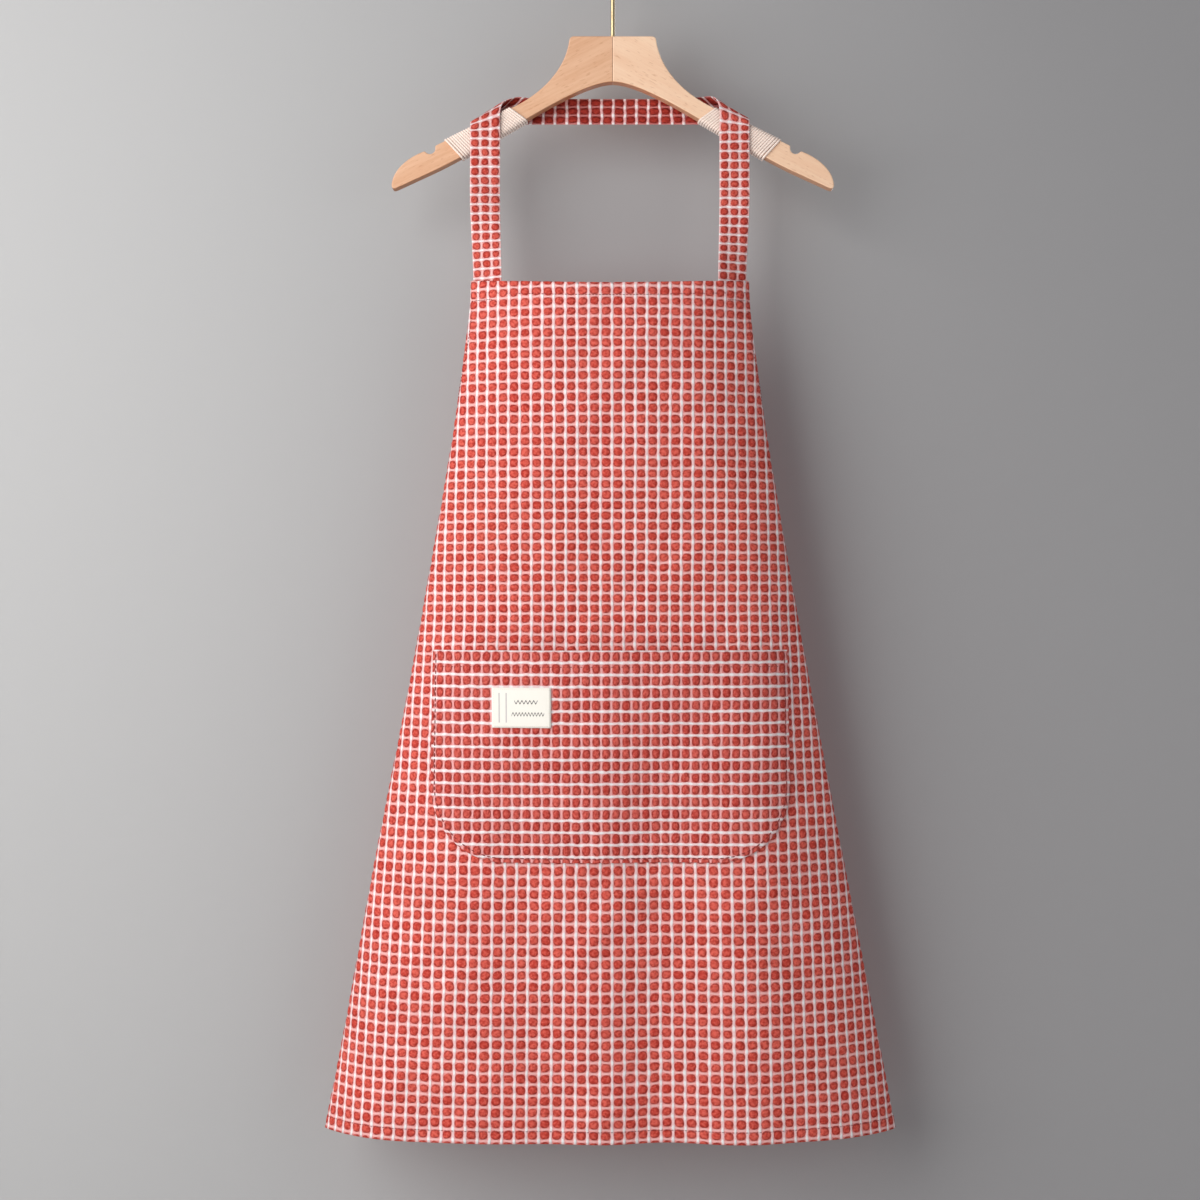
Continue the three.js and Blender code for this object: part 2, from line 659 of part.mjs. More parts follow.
// One tie: the band from the apron's side to the knot, its half of the knot, a loop and a tail.
function waistTie(side) {
  const V = (x, y, z) => new THREE.Vector3(APRON_SHIFT + side * x, y, z);
  const knot = knotPlace();
  const sewnOut = -(CLOTH / 2 + GAP + TIE_THICKNESS / 2 + 2 * SEAM_EASE);
  const sewn = (back) => clothPlace(side * (SKIRT_HALF_CLOTH - back), tieDown, sewnOut).point;
  const curve = (points) => new THREE.CatmullRomCurve3(points, false, "centripetal");
  const ribbon = (points, half, way, steps) => {
    const line = curve(points);
    const edge = (sign) =>
      curve(
        [...Array(steps + 1).keys()].map((step) => {
          const u = step / steps;
          return line.getPoint(u).addScaledVector(way(u), sign * half(u));
        }),
      );
    return toSolid(band(edge(1), edge(-1), steps, TIE_THICKNESS));
  };
  const up = () => new THREE.Vector3(0, 0, 1);
  const half = TIE_WIDTH / 2;
  // Band, gathered where it enters the knot.
  const halfway = Math.abs(sewn(0).x - APRON_SHIFT) / 2;
  const nearKnot = [V(halfway, knot.y - 2, knot.z + 4), V(3, knot.y, knot.z)];
  const bandPoints = [sewn(24), sewn(0), sewn(-7), ...nearKnot];
  let tie = ribbon(bandPoints, (u) => mix(half, 6, ease(u * 1.2 - 0.3)), up, 14);
  // Loop of the bow, out and back, open in the middle.
  const droop = -BOW_LOOP * 0.42;
  const loopWay = () => new THREE.Vector3(side * 0.39, 0, 0.92);
  const loop = [
    V(3, knot.y + 1, knot.z),
    V(BOW_LOOP * 0.5, knot.y + 4, knot.z + droop * 0.36),
    V(BOW_LOOP * 0.94, knot.y + 5, knot.z + droop * 0.92),
    V(BOW_LOOP, knot.y + 11, knot.z + droop),
    V(BOW_LOOP * 0.94, knot.y + 17, knot.z + droop * 0.92),
    V(BOW_LOOP * 0.5, knot.y + 18, knot.z + droop * 0.36),
    V(3, knot.y + 5, knot.z),
  ];
  const loopHalf = (u) => mix(5, half, ease(Math.min(u, 1 - u) * 4));
  tie = tie.add(ribbon(loop, loopHalf, loopWay, 26));
  // Tail hanging from the knot.
  const tailWay = () => new THREE.Vector3(1, 0, 0);
  const tail = [
    V(4, knot.y + 2, knot.z),
    V(12, knot.y + 4, knot.z - 40),
    V(23, knot.y + 3, knot.z - TIE_TAIL * 0.5),
    V(29, knot.y + 4, knot.z - TIE_TAIL),
  ];
  tie = tie.add(ribbon(tail, (u) => mix(5, half - 1, ease(u * 5)), tailWay, 16));
  // Half of the knot.
  const ball = new THREE.SphereGeometry(1, 16, 10);
  ball.scale(...KNOT_HALF_SIZE).translate(knot.x, knot.y + 3, knot.z);
  tie = tie.add(toSolid(ball));
  const otherHalf = box([-200, -200, -3000], [GAP / 2, 200, 0]);
  if (side < 0) otherHalf.rotateZ(Math.PI);
  otherHalf.translate(APRON_SHIFT, 0, 0);
  return toGeometry(tie.subtract(toSolid(otherHalf)));
}

// ---- Sewing threads ------------------------------------------------------------------------

const threadOut = GAP + THREAD / 2 + 0.2;
const onBody = (across, down, out = 0) =>
  clothPlace(across, down, CLOTH / 2 + threadOut + out).point;
const onPocket = (across, down) =>
  clothPlace(across, down, pocketOut(across, down) + POCKET_CLOTH / 2 + threadOut + 0.15).point;
const spread = (count, place) =>
  [...Array(count + 1).keys()].map((step) => place(step / count));

// Across the cloth, column by column as the body panel is.
function hemStitch(downAt) {
  const reach = 1 - 2 / BODY_COLUMNS;
  const points = spread(BODY_COLUMNS - 2, (u) => {
    const column = mix(-reach, reach, u);
    const down = downAt(column);
    return onBody(columnAcross(column, down), down, SEAM_EASE);
  });
  return threadLine(points, 90);
}
const bibHemStitch = () => hemStitch((column) => bibTopAt(column) + 3 * SEAM_INSET);
const bottomHemStitch = () => hemStitch(() => APRON_LENGTH - 3 * SEAM_INSET);

// Down the armhole and the side, level by level as the body panel is.
function sideStitch(side) {
  const points = spread(BODY_ROWS, (u) => {
    const down = APRON_LENGTH * u;
    const edge = onBody(side * level(down).cloth, down, SEAM_EASE);
    const inside = onBody(columnAcross(side * (1 - 2 / BODY_COLUMNS), down), down, SEAM_EASE);
    return edge.lerp(inside, SEAM_INSET / edge.distanceTo(inside));
  });
  points[0].lerp(points[1], 0.4);
  points[BODY_ROWS].lerp(points[BODY_ROWS - 1], 0.4);
  return threadLine(points, 80);
}

// Round the pocket's sides and bottom, inside its edge.
function pocketEdgeStitch() {
  const inner = POCKET_HALF_WIDTH - SEAM_INSET;
  const low = pocketBottom - SEAM_INSET;
  const corner = POCKET_CORNER - SEAM_INSET;
  const right = [];
  for (const share of spread(5, (u) => u).slice(0, 5))
    right.push([inner, mix(POCKET_TOP + SEAM_INSET, low - corner, share)]);
  for (const share of spread(7, (u) => u)) {
    const angle = (share * Math.PI) / 2;
    right.push([
      inner - corner * (1 - Math.cos(angle)),
      low - corner * (1 - Math.sin(angle)),
    ]);
  }
  right.push([(inner - corner) / 2, low]);
  const left = right.map(([across, down]) => [-across, down]).reverse();
  const points = [...right, ...left].map(([across, down]) => onPocket(across, down));
  return threadLine(points, 90);
}

function pocketMouthStitch() {
  const reach = POCKET_HALF_WIDTH - 2 * SEAM_INSET;
  const points = spread(24, (u) => onPocket(mix(-reach, reach, u), POCKET_TOP + 4 * SEAM_INSET));
  return threadLine(points, 48);
}

// A closed rectangle of stitches would trap a hole, so it starts and ends at one corner.
function labelStitch() {
  const inset = 1.8;
  const [left, right] = [LABEL_LEFT + inset, LABEL_LEFT + LABEL_WIDTH - inset];
  const [high, low] = [LABEL_TOP + inset, LABEL_TOP + LABEL_HEIGHT - inset];
  const turn = 1.2;
  const edge = (from, to) =>
    spread(5, (u) => [mix(from[0], to[0], u), mix(from[1], to[1], u)]);
  const route = [
    ...edge([left + 2 * turn, high], [right - turn, high]),
    ...edge([right, high + turn], [right, low - turn]),
    ...edge([right - turn, low], [left + turn, low]),
    ...edge([left, low - turn], [left, high + turn]),
  ];
  const points = route.map(([across, down]) => {
    const out = labelOut(across, down) + LABEL_THICKNESS / 2 + threadOut;
    return clothPlace(across, down, out).point;
  });
  return threadLine(points, 60);
}

// A short zigzag bar of stitches through the bib and the strap's end.
function strapTack(side) {
  const points = spread(6, (u) => {
    const across = side * mix(strapOuter - STRAP_WIDTH + 3, strapOuter - 4, u);
    const dip = BIB_DIP * (1 - (across / strapOuter) ** 2);
    return onBody(across, dip + 5 * SEAM_INSET);
  });
  return threadLine(points, 14);
}

function tieTack(side) {
  const reach = TIE_WIDTH / 2 - 3;
  const points = spread(4, (u) => {
    const down = tieDown + mix(-reach, reach, u);
    return onBody(side * (SKIRT_HALF_CLOTH - 14), down);
  });
  return threadLine(points, 8);
}

// ---- Assembly ------------------------------------------------------------------------------

addPart("hook_wire", hookWire(), BRASS);
addPart("swivel_sleeve", swivelSleeve(), BRASS);
addPart("hanger_left_half", hangerHalf(-1), BEECH_LEFT);
addPart("hanger_right_half", hangerHalf(1), BEECH_RIGHT);
addPart("body_panel", bodyPanel(), CHECK);
addPart("neck_strap", neckStrap(), CHECK);
addPart("pocket", pocket(), CHECK);
addPart("label", label(), CREAM);
addPart("bib_hem_stitch", bibHemStitch(), RED_THREAD);
addPart("bottom_hem_stitch", bottomHemStitch(), RED_THREAD);
addPart("pocket_edge_stitch", pocketEdgeStitch(), RED_THREAD);
addPart("pocket_mouth_stitch", pocketMouthStitch(), RED_THREAD);
addPart("label_stitch", labelStitch(), CREAM);
for (const [name, side] of [["left", -1], ["right", 1]]) {
  addPart("cord_winding_" + name, cordWinding(side), CORD);
  addPart("waist_tie_" + name, waistTie(side), CHECK);
  addPart("side_stitch_" + name, sideStitch(side), RED_THREAD);
  addPart("strap_tack_" + name, strapTack(side), RED_THREAD);
  addPart("tie_tack_" + name, tieTack(side), RED_THREAD);
}

export default apron;
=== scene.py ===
# %% [markdown]
# # A check cotton apron on a wooden clothes hanger
# This lesson builds the looks of a bib apron that hangs by its neck strap on a flat
# hanger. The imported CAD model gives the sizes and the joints, and every piece that
# shows is worked out here as a surface of two parameters, so each fold, puff and turn
# of cord is one formula on a numpy array.

# %% The frame
import json
import math
import bmesh
import bpy
import numpy as np
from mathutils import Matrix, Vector

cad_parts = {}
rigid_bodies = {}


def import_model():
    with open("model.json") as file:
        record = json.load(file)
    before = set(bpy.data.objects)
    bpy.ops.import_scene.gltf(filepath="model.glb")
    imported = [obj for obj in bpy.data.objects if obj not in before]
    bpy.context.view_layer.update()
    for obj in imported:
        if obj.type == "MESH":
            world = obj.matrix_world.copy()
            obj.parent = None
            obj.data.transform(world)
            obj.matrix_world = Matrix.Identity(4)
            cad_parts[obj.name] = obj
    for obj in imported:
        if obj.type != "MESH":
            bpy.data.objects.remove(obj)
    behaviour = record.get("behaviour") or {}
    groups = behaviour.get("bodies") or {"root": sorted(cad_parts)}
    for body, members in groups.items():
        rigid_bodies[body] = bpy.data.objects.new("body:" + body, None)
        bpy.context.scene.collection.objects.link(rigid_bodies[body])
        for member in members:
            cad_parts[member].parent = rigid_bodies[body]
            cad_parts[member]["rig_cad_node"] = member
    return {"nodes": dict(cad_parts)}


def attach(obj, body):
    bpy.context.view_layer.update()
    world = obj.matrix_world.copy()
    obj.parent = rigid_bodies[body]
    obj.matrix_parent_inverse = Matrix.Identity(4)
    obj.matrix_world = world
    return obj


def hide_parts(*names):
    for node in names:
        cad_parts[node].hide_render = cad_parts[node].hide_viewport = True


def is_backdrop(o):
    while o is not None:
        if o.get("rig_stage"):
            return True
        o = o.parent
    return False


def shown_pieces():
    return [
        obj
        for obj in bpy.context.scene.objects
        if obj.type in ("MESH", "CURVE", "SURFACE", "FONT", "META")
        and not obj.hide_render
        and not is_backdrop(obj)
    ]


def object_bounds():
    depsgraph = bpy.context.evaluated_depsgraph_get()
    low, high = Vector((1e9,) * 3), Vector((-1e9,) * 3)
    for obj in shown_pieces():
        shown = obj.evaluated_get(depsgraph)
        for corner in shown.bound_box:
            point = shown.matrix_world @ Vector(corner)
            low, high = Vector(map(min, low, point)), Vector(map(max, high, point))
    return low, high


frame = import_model()
CAD_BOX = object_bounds()
MM = 0.001
SIDES = ((-1, "left"), (1, "right"))

# %% [markdown]
# The camera comes first. It is level, a little under two metres away and looks straight
# at the middle of the cloth, so the hook's bend is above the view.

# %% Camera
VIEW_FROM, LENS, SENSOR = (-0.0128, -1.95, -0.654), 58.5, 36.0
camera_data = bpy.data.cameras.new("camera")
camera_data.lens, camera_data.sensor_width = LENS, SENSOR
camera = bpy.data.objects.new("camera", camera_data)
camera.location = VIEW_FROM
camera.rotation_euler = (math.radians(90), 0, 0)
bpy.context.scene.collection.objects.link(camera)
bpy.context.scene.camera = camera
bpy.context.scene.view_settings.view_transform = "Standard"
print("camera at", VIEW_FROM)

# %% [markdown]
# ## Tools for shapes
# A surface is a grid of points. The grid's quads could be made by a loop, but index
# arithmetic on whole arrays is shorter and quicker. A grid may close on itself, as a
# tube does, and points that fall on one place are welded, as at a cut edge.

# %% Grids and meshes
def grid_faces(rows, columns, closed=False):
    """One quad between each four neighbours of a rows by columns grid."""
    i, j = np.meshgrid(
        np.arange(rows - 1), np.arange(columns if closed else columns - 1), indexing="ij"
    )
    corner = lambda a, b: (i + a) * columns + (j + b) % columns
    quads = [corner(0, 0), corner(1, 0), corner(1, 1), corner(0, 1)]
    return np.stack(quads, -1).reshape(-1, 4)


def tube_faces(rings, sides):
    """The quads of a closed tube, and its first and last ring as two flat ends."""
    side = np.arange(sides)
    ends = [side[::-1].tolist(), ((rings - 1) * sides + side).tolist()]
    return grid_faces(rings, sides, closed=True).tolist() + ends


def grid_map(across, down):
    """The map of a grid: one row of numbers across and one down."""
    pairs = np.broadcast_arrays(np.asarray(across)[None, :], np.asarray(down)[:, None])
    return np.stack(pairs, -1)


def cut_cloth(across, down):
    """The points and faces of a grid whose points past the edge were moved to it. Points
    at one place are joined, and a quad that loses one corner is a triangle."""
    places = np.stack([across, down], -1).reshape(-1, 2)
    _, first, index = np.unique(
        np.round(places, 5), axis=0, return_index=True, return_inverse=True
    )
    faces = index.reshape(-1)[grid_faces(*across.shape)]
    repeated = faces == np.roll(faces, -1, axis=1)
    quads = faces[repeated.sum(1) == 0]
    corners = faces[repeated.sum(1) == 1]
    triangles = corners[~(corners == np.roll(corners, -1, axis=1))].reshape(-1, 3)
    return *places[first].T, quads.tolist() + triangles.tolist()


def make_piece(name, points, faces, uv=None):
    """A smooth-shaded object at the origin from points in millimetres, with a map that
    has one pair of numbers for each point."""
    mesh = bpy.data.meshes.new(name)
    mesh.from_pydata((np.reshape(points, (-1, 3)) * MM).tolist(), [], faces)
    if uv is not None:
        corners = np.zeros(len(mesh.loops), int)
        mesh.loops.foreach_get("vertex_index", corners)
        layer = mesh.uv_layers.new(name="Cloth")
        layer.data.foreach_set("uv", np.reshape(uv, (-1, 2))[corners].reshape(-1))
    mesh.polygons.foreach_set("use_smooth", np.ones(len(mesh.polygons), bool))
    mesh.update()
    piece = bpy.data.objects.new(name, mesh)
    bpy.context.scene.collection.objects.link(piece)
    return piece


def settle(piece, material, body, slot, *nodes):
    """Gives a piece its finish, its body and the CAD nodes that it stands for."""
    piece.data.materials.append(material)
    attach(piece, body)
    if nodes:
        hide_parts(*nodes)
    print(piece.name, len(piece.data.polygons), "faces")
    return piece


def mix(a, b, share):
    return a + (b - a) * share


def ease(share):
    """Smooth step: three times the square less twice the cube, between 0 and 1."""
    t = np.clip(share, 0, 1)
    return t * t * (3 - 2 * t)


def unit(vectors):
    return vectors / np.linalg.norm(vectors, axis=-1, keepdims=True)


# %% [markdown]
# Ribbons follow a smooth curve through a few chosen points. The centripetal
# Catmull-Rom curve never makes loops between uneven points, so it is the one used.

# %% Curve through points
def smooth_curve(points, steps):
    """Between two points the curve is the cubic whose slopes come from the neighbours,
    weighted by the square roots of the distances to them."""
    p = np.asarray(points, float)
    p = np.vstack([2 * p[0] - p[1], p, 2 * p[-1] - p[-2]])
    at = np.linspace(0, len(p) - 3, steps + 1)
    left = np.minimum(at.astype(int), len(p) - 4)
    w = (at - left)[:, None]
    p0, p1, p2, p3 = p[left], p[left + 1], p[left + 2], p[left + 3]
    gap = lambda a, b: np.sqrt(np.linalg.norm(b - a, axis=1, keepdims=True))
    d0, d1, d2 = gap(p0, p1), gap(p1, p2), gap(p2, p3)
    t1 = ((p1 - p0) / d0 - (p2 - p0) / (d0 + d1) + (p2 - p1) / d1) * d1
    t2 = ((p2 - p1) / d1 - (p3 - p1) / (d1 + d2) + (p3 - p2) / d2) * d1
    c2, c3 = -3 * p1 + 3 * p2 - 2 * t1 - t2, 2 * p1 - 2 * p2 + t1 + t2
    return p1 + t1 * w + c2 * w**2 + c3 * w**3


def run_length(points):
    """Distance along a line of points."""
    steps = np.linalg.norm(np.diff(points, axis=0), axis=1)
    return np.concatenate([[0], np.cumsum(steps)])


def even(points, count):
    """The same line with its points an equal distance apart."""
    at = run_length(points)
    where = np.linspace(0, at[-1], count)
    return np.stack([np.interp(where, at, points[:, axis]) for axis in range(3)], -1)


def rings(aside, up, sides):
    """A ring round each place: one way times the cosine plus the other times the sine."""
    turn = np.arange(sides) / sides * 2 * np.pi
    wide = aside[:, None] * np.cos(turn)[None, :, None]
    return wide + up[:, None] * np.sin(turn)[None, :, None]


# %% [markdown]
# ## Tools for finishes
# A finish is a node tree. Writing masks as node links is hard to read, so a small class
# wraps a socket, and plus, minus, times and power on it add Math nodes. Colours go
# through Mix nodes, and one method makes any other node.

# %% Shader tools
class Value:
    """A socket that Python's arithmetic works on."""

    def __init__(self, finish, socket):
        self.finish, self.socket = finish, socket

    def math(self, operation, other=0.0, swap=False):
        first, second = (other, self) if swap else (self, other)
        node = self.finish.node(
            "ShaderNodeMath", {"operation": operation}, {0: first, 1: second}
        )
        return Value(self.finish, node.outputs[0])

    __add__ = __radd__ = lambda self, other: self.math("ADD", other)
    __mul__ = __rmul__ = lambda self, other: self.math("MULTIPLY", other)
    __sub__ = lambda self, other: self.math("SUBTRACT", other)
    __rsub__ = lambda self, other: self.math("SUBTRACT", other, swap=True)
    __truediv__ = lambda self, other: self.math("DIVIDE", other)
    __pow__ = lambda self, other: self.math("POWER", other)
    __abs__ = lambda self: self.math("ABSOLUTE")

    def fraction(self):
        return self.math("FRACT")

    def floor(self):
        return self.math("FLOOR")

    def sine(self):
        return self.math("SINE")

    def step(self, start, end):
        """0 before start, 1 after end, smooth between them."""
        node = self.finish.node(
            "ShaderNodeMapRange",
            {"interpolation_type": "SMOOTHSTEP"},
            {"Value": self, "From Min": start, "From Max": end},
        )
        return Value(self.finish, node.outputs["Result"])


class Finish:
    """One material: its node tree and its Principled shader."""

    def __init__(self, name, roughness=0.8, metallic=0.0, specular=0.5, sheen=0.0, coat=0.0):
        self.material = bpy.data.materials.new(name)
        self.material.use_nodes = True
        self.tree = self.material.node_tree
        self.shader = self.tree.nodes["Principled BSDF"]
        constants = {
            "Roughness": roughness, "Metallic": metallic, "Specular IOR Level": specular,
            "Sheen Weight": sheen, "Sheen Roughness": 0.5,
            "Coat Weight": coat, "Coat Roughness": 0.3,
        }
        for key, value in constants.items():
            self.shader.inputs[key].default_value = value

    def put(self, socket, value):
        if isinstance(value, Value):
            value = value.socket
        if isinstance(value, bpy.types.NodeSocket):
            self.tree.links.new(value, socket)
        elif hasattr(value, "__len__") and len(value) == 3 and socket.type == "RGBA":
            socket.default_value = (*value, 1)
        else:
            socket.default_value = value

    def node(self, kind, settings=None, inputs=None):
        node = self.tree.nodes.new(kind)
        for key, value in (settings or {}).items():
            setattr(node, key, value)
        for key, value in (inputs or {}).items():
            self.put(node.inputs[key], value)
        return node

    def coordinates(self):
        return self.node("ShaderNodeTexCoord").outputs["Object"]

    def split(self, vector):
        node = self.node("ShaderNodeSeparateXYZ", inputs={0: vector})
        return [Value(self, output) for output in node.outputs]

    def cloth(self):
        """The piece's own map: whole numbers lie on the lines of the weave."""
        return self.split(self.node("ShaderNodeUVMap", {"uv_map": "Cloth"}).outputs[0])

    def join(self, x, y, z=0.0):
        return self.node("ShaderNodeCombineXYZ", inputs={0: x, 1: y, 2: z}).outputs[0]

    def place(self, vector, scale=(1, 1, 1), turn=(0, 0, 0)):
        inputs = {"Vector": vector, "Scale": scale, "Rotation": turn}
        return self.node("ShaderNodeMapping", inputs=inputs).outputs[0]

    def noise(self, vector, scale=1.0, detail=3.0):
        inputs = {"Vector": vector, "Scale": scale, "Detail": detail}
        return Value(self, self.node("ShaderNodeTexNoise", inputs=inputs).outputs[0])

    def grain(self, x, y, z=0.0, detail=2.0):
        """Noise over the cloth's map, with z as the choice of pattern."""
        return self.noise(self.join(x, y, z), 1.0, detail)

    def stretched(self, vector, scale, detail):
        """Noise drawn out by a different scale along each way."""
        return self.noise(self.place(vector, scale=scale), 1.0, detail)

    def dice(self, vector):
        """One random number for each different vector."""
        node = self.node(
            "ShaderNodeTexWhiteNoise", {"noise_dimensions": "3D"}, {"Vector": vector}
        )
        return Value(self, node.outputs["Value"])

    def blend(self, share, low, high, way="MIX"):
        node = self.node("ShaderNodeMix", {"data_type": "RGBA", "blend_type": way})
        self.put(node.inputs["Factor"], share)
        self.put(node.inputs[6], low)
        self.put(node.inputs[7], high)
        return node.outputs[2]

    def bump(self, height, depth):
        inputs = {"Height": height, "Distance": depth, "Strength": 1.0}
        node = self.node("ShaderNodeBump", inputs=inputs)
        self.put(self.shader.inputs["Normal"], node.outputs[0])

    def colour(self, value):
        self.put(self.shader.inputs["Base Color"], value)

    def roughness(self, value):
        self.put(self.shader.inputs["Roughness"], value)


# %% [markdown]
# ## Check cotton
# The cloth is woven with close white threads along one way and mixed pink ones along
# the other, and between them the red cloth shrinks into small puffs. The map's first
# number counts the white lines and the second the pink bands. The distance to the
# nearest line gives every mask: a nearly round puff with a frayed edge, a rim of painted
# shade where it dips under the lines, and a lighter knot where white crosses pink. The
# strap's face towards the hanger, which shows behind the neck, is painted in shade with
# a darker palette of its own.

# %% Check cotton finish
# The third puff colour of each palette is a painted shade for the dark rim round each puff,
# mixed with random mottling.
FRONT_COLOURS = {
    "puff": ((0.59, 0.051, 0.034), (0.83, 0.150, 0.110), (0.25, 0.010, 0.007)),
    "band": ((0.87, 0.300, 0.278), (0.98, 0.55, 0.53)),
    "line": ((0.98, 0.61, 0.61), (1.0, 0.97, 0.97)),
}
STRAP_COLOURS = {
    "puff": ((0.54, 0.045, 0.030), (0.76, 0.135, 0.098), (0.24, 0.011, 0.007)),
    "band": ((0.82, 0.33, 0.31), (0.96, 0.60, 0.58)),
    "line": ((0.94, 0.55, 0.55), (1.0, 0.95, 0.95)),
}
POCKET_COLOURS = {
    "puff": ((0.54, 0.051, 0.037), (0.75, 0.146, 0.112), (0.23, 0.011, 0.008)),
    "band": ((0.77, 0.24, 0.224), (0.94, 0.49, 0.48)),
    "line": ((0.97, 0.68, 0.68), (1.0, 0.96, 0.96)),
}
# Painted shade: a darker copy of the palette for the strap's face towards the hanger.
SHADED_STRAP_COLOURS = {
    "puff": ((0.33, 0.022, 0.014), (0.47, 0.048, 0.032), (0.11, 0.005, 0.004)),
    "band": ((0.42, 0.075, 0.065), (0.66, 0.24, 0.23)),
    "line": ((0.85, 0.42, 0.42), (1.0, 0.92, 0.92)),
}


def check_cotton(name, colours):
    f = Finish(name, roughness=0.9, specular=0.2)
    puff_red, puff_light, puff_shade_and_mottle = colours["puff"]
    across, along, _ = f.cloth()
    drift = f.grain(across * 0.21, along * 0.21, detail=1.0)
    sway = f.grain(across * 1.3, along * 1.1, 4.0, detail=1.0)
    across = across + (sway - 0.5) * 0.18
    along = along + (f.noise(f.join(across, along, 9.0), 0.9, 1.0) - 0.5) * 0.26
    cell = f.join(across.floor(), along.floor(), 2.5)
    dice, size = f.dice(cell), f.dice(f.place(cell, scale=(1.7, 2.3, 5.1)))
    to_line = abs(across.fraction() - 0.5) * 2.0
    to_band = abs(along.fraction() - 0.5) * 2.0
    roundness = 2.25
    corner = (to_line / 0.81) ** roundness + (to_band / 0.79) ** roundness
    fray = f.grain(across * 9.0, along * 9.0, 8.0)
    corner = corner ** (1 / roundness) / (0.94 + size * 0.10) + (fray - 0.5) * 0.16
    puff = 1.0 - corner.step(0.86, 1.08)
    # painted shade: the rim is darkest at each puff's edge, where it dips under the lines
    rim = corner.step(0.36, 0.96)
    line = (to_line + (fray - 0.5) * 0.10).step(0.68, 0.88)
    weft = f.grain(across * 5.0, along * 34.0, 1.0)
    warp = f.grain(across * 32.0, along * 5.0, 6.0)
    mottle = f.grain(across * 4.2, along * 4.2, 3.0)
    tone = dice * 0.32 + (mottle - 0.5) * 1.3 + (weft - 0.5) * 0.6 + (warp - 0.5) * 0.5
    red = f.blend(tone.step(-0.2, 0.5), puff_red, puff_light)
    # the rim and random mottling take the puff towards its painted shade colour
    red = f.blend(rim * (0.95 - mottle * 0.9) + (0.5 - mottle) * 0.9, red, puff_shade_and_mottle)
    pink = f.blend(to_band.step(0.70, 1.0) + (warp - 0.5) * 0.8, *colours["band"])
    white = f.blend(to_band.step(0.35, 0.85) * 0.85 + line * 0.15, *colours["line"])
    seen = f.blend(puff, f.blend(line, pink, white), red)
    grey = f.blend(drift.step(0.3, 0.7), (0.94, 0.93, 0.93), (1.0, 1.0, 1.0))
    f.colour(f.blend(1.0, seen, grey, "MULTIPLY"))
    crease = f.grain(across * 0.30 + along * 0.16, along * 0.15, 7.0)
    height = puff * (1.0 - corner * corner * 0.6) + line * 0.45 + crease * 4.5
    f.bump(height + (weft - 0.5) * 0.3 + (warp - 0.5) * 0.3, 0.0013)
    return f.material


CHECK = check_cotton("check_cotton", FRONT_COLOURS)
CHECK_POCKET = check_cotton("check_cotton_pocket", POCKET_COLOURS)
CHECK_STRAP = check_cotton("check_cotton_strap", STRAP_COLOURS)
CHECK_SHADED_STRAP = check_cotton("check_cotton_painted_shade", SHADED_STRAP_COLOURS)
print("check cotton", len(CHECK.node_tree.nodes), "nodes")

# %% [markdown]
# ## Wood, brass, cord and the small finishes
# Beech has a fine straight grain with short flecks. Each half of the hanger was sawn
# with its grain along its own arm, so the pattern is turned along that arm before it
# is stretched. Faces that point downwards are painted in shade, darker towards the
# same colour that tints the flecks.

# %% Beech finish
ARM_ANGLE = math.atan(0.496)


def beech(name, turn, light, dark, edge):
    f = Finish(name, roughness=0.45, coat=0.25)
    turned = f.place(f.coordinates(), turn=(0, turn, 0))
    broad = f.stretched(turned, (5, 40, 55), 4.0)
    fine = f.stretched(turned, (28, 420, 420), 3.0)
    fleck = f.stretched(turned, (120, 700, 700), 1.0).step(0.60, 0.72)
    base = f.blend((broad * 0.7 + fine * 0.45).step(0.38, 0.80), light, dark)
    base = f.blend(fleck * 0.35, base, edge)
    normal = f.split(f.node("ShaderNodeNewGeometry").outputs["Normal"])
    # painted shade: faces that point downwards darken towards the edge colour
    under = (normal[2] * -1.0).step(0.25, 0.9)
    f.colour(f.blend(under * 0.75, base, edge))
    f.roughness(0.40 + fine * 0.16)
    f.bump(fine * 0.6 + fleck * -0.5, 0.00008)
    return f.material


# The third colour of each half tints the flecks and is the painted shade underneath.
BEECH_LEFT = beech(
    "beech_left", ARM_ANGLE, (0.79, 0.475, 0.295), (0.68, 0.36, 0.20), (0.46, 0.17, 0.06)
)
BEECH_RIGHT = beech(
    "beech_right", -ARM_ANGLE, (0.94, 0.66, 0.46), (0.86, 0.54, 0.35), (0.50, 0.20, 0.08)
)
print("beech in two tones")


# %% Brass, cord, thread and label finishes
def brass():
    f = Finish("brass", roughness=0.24, metallic=1.0)
    place = f.coordinates()
    drawn = f.stretched(place, (900, 900, 30), 2.0)
    tarnish = f.noise(place, 60.0, 3.0).step(0.45, 0.8)
    f.colour(f.blend(tarnish * 0.5, (0.66, 0.52, 0.30), (0.44, 0.32, 0.16)))
    f.roughness(0.30 + drawn * 0.10 + tarnish * 0.1)
    return f.material


def twisted(name, light, dark, strands, depth, roughness=0.9):
    """A twisted yarn: the map's first number goes round it, the second along it."""
    f = Finish(name, roughness=roughness, sheen=0.2)
    around, along, _ = f.cloth()
    groove = abs((around * strands + along).fraction() - 0.5) * 2.0
    fibre = f.grain(around * 9.0, along * 3.0)
    # painted shade: the grooves between strands are darkened, mixed with random fibre tone
    f.colour(f.blend(groove.step(0.55, 1.0) * 0.35 + (fibre - 0.5) * 0.5, light, dark))
    f.bump(1.0 - groove * groove + (fibre - 0.5) * 0.5, depth)
    return f.material


BRASS = brass()
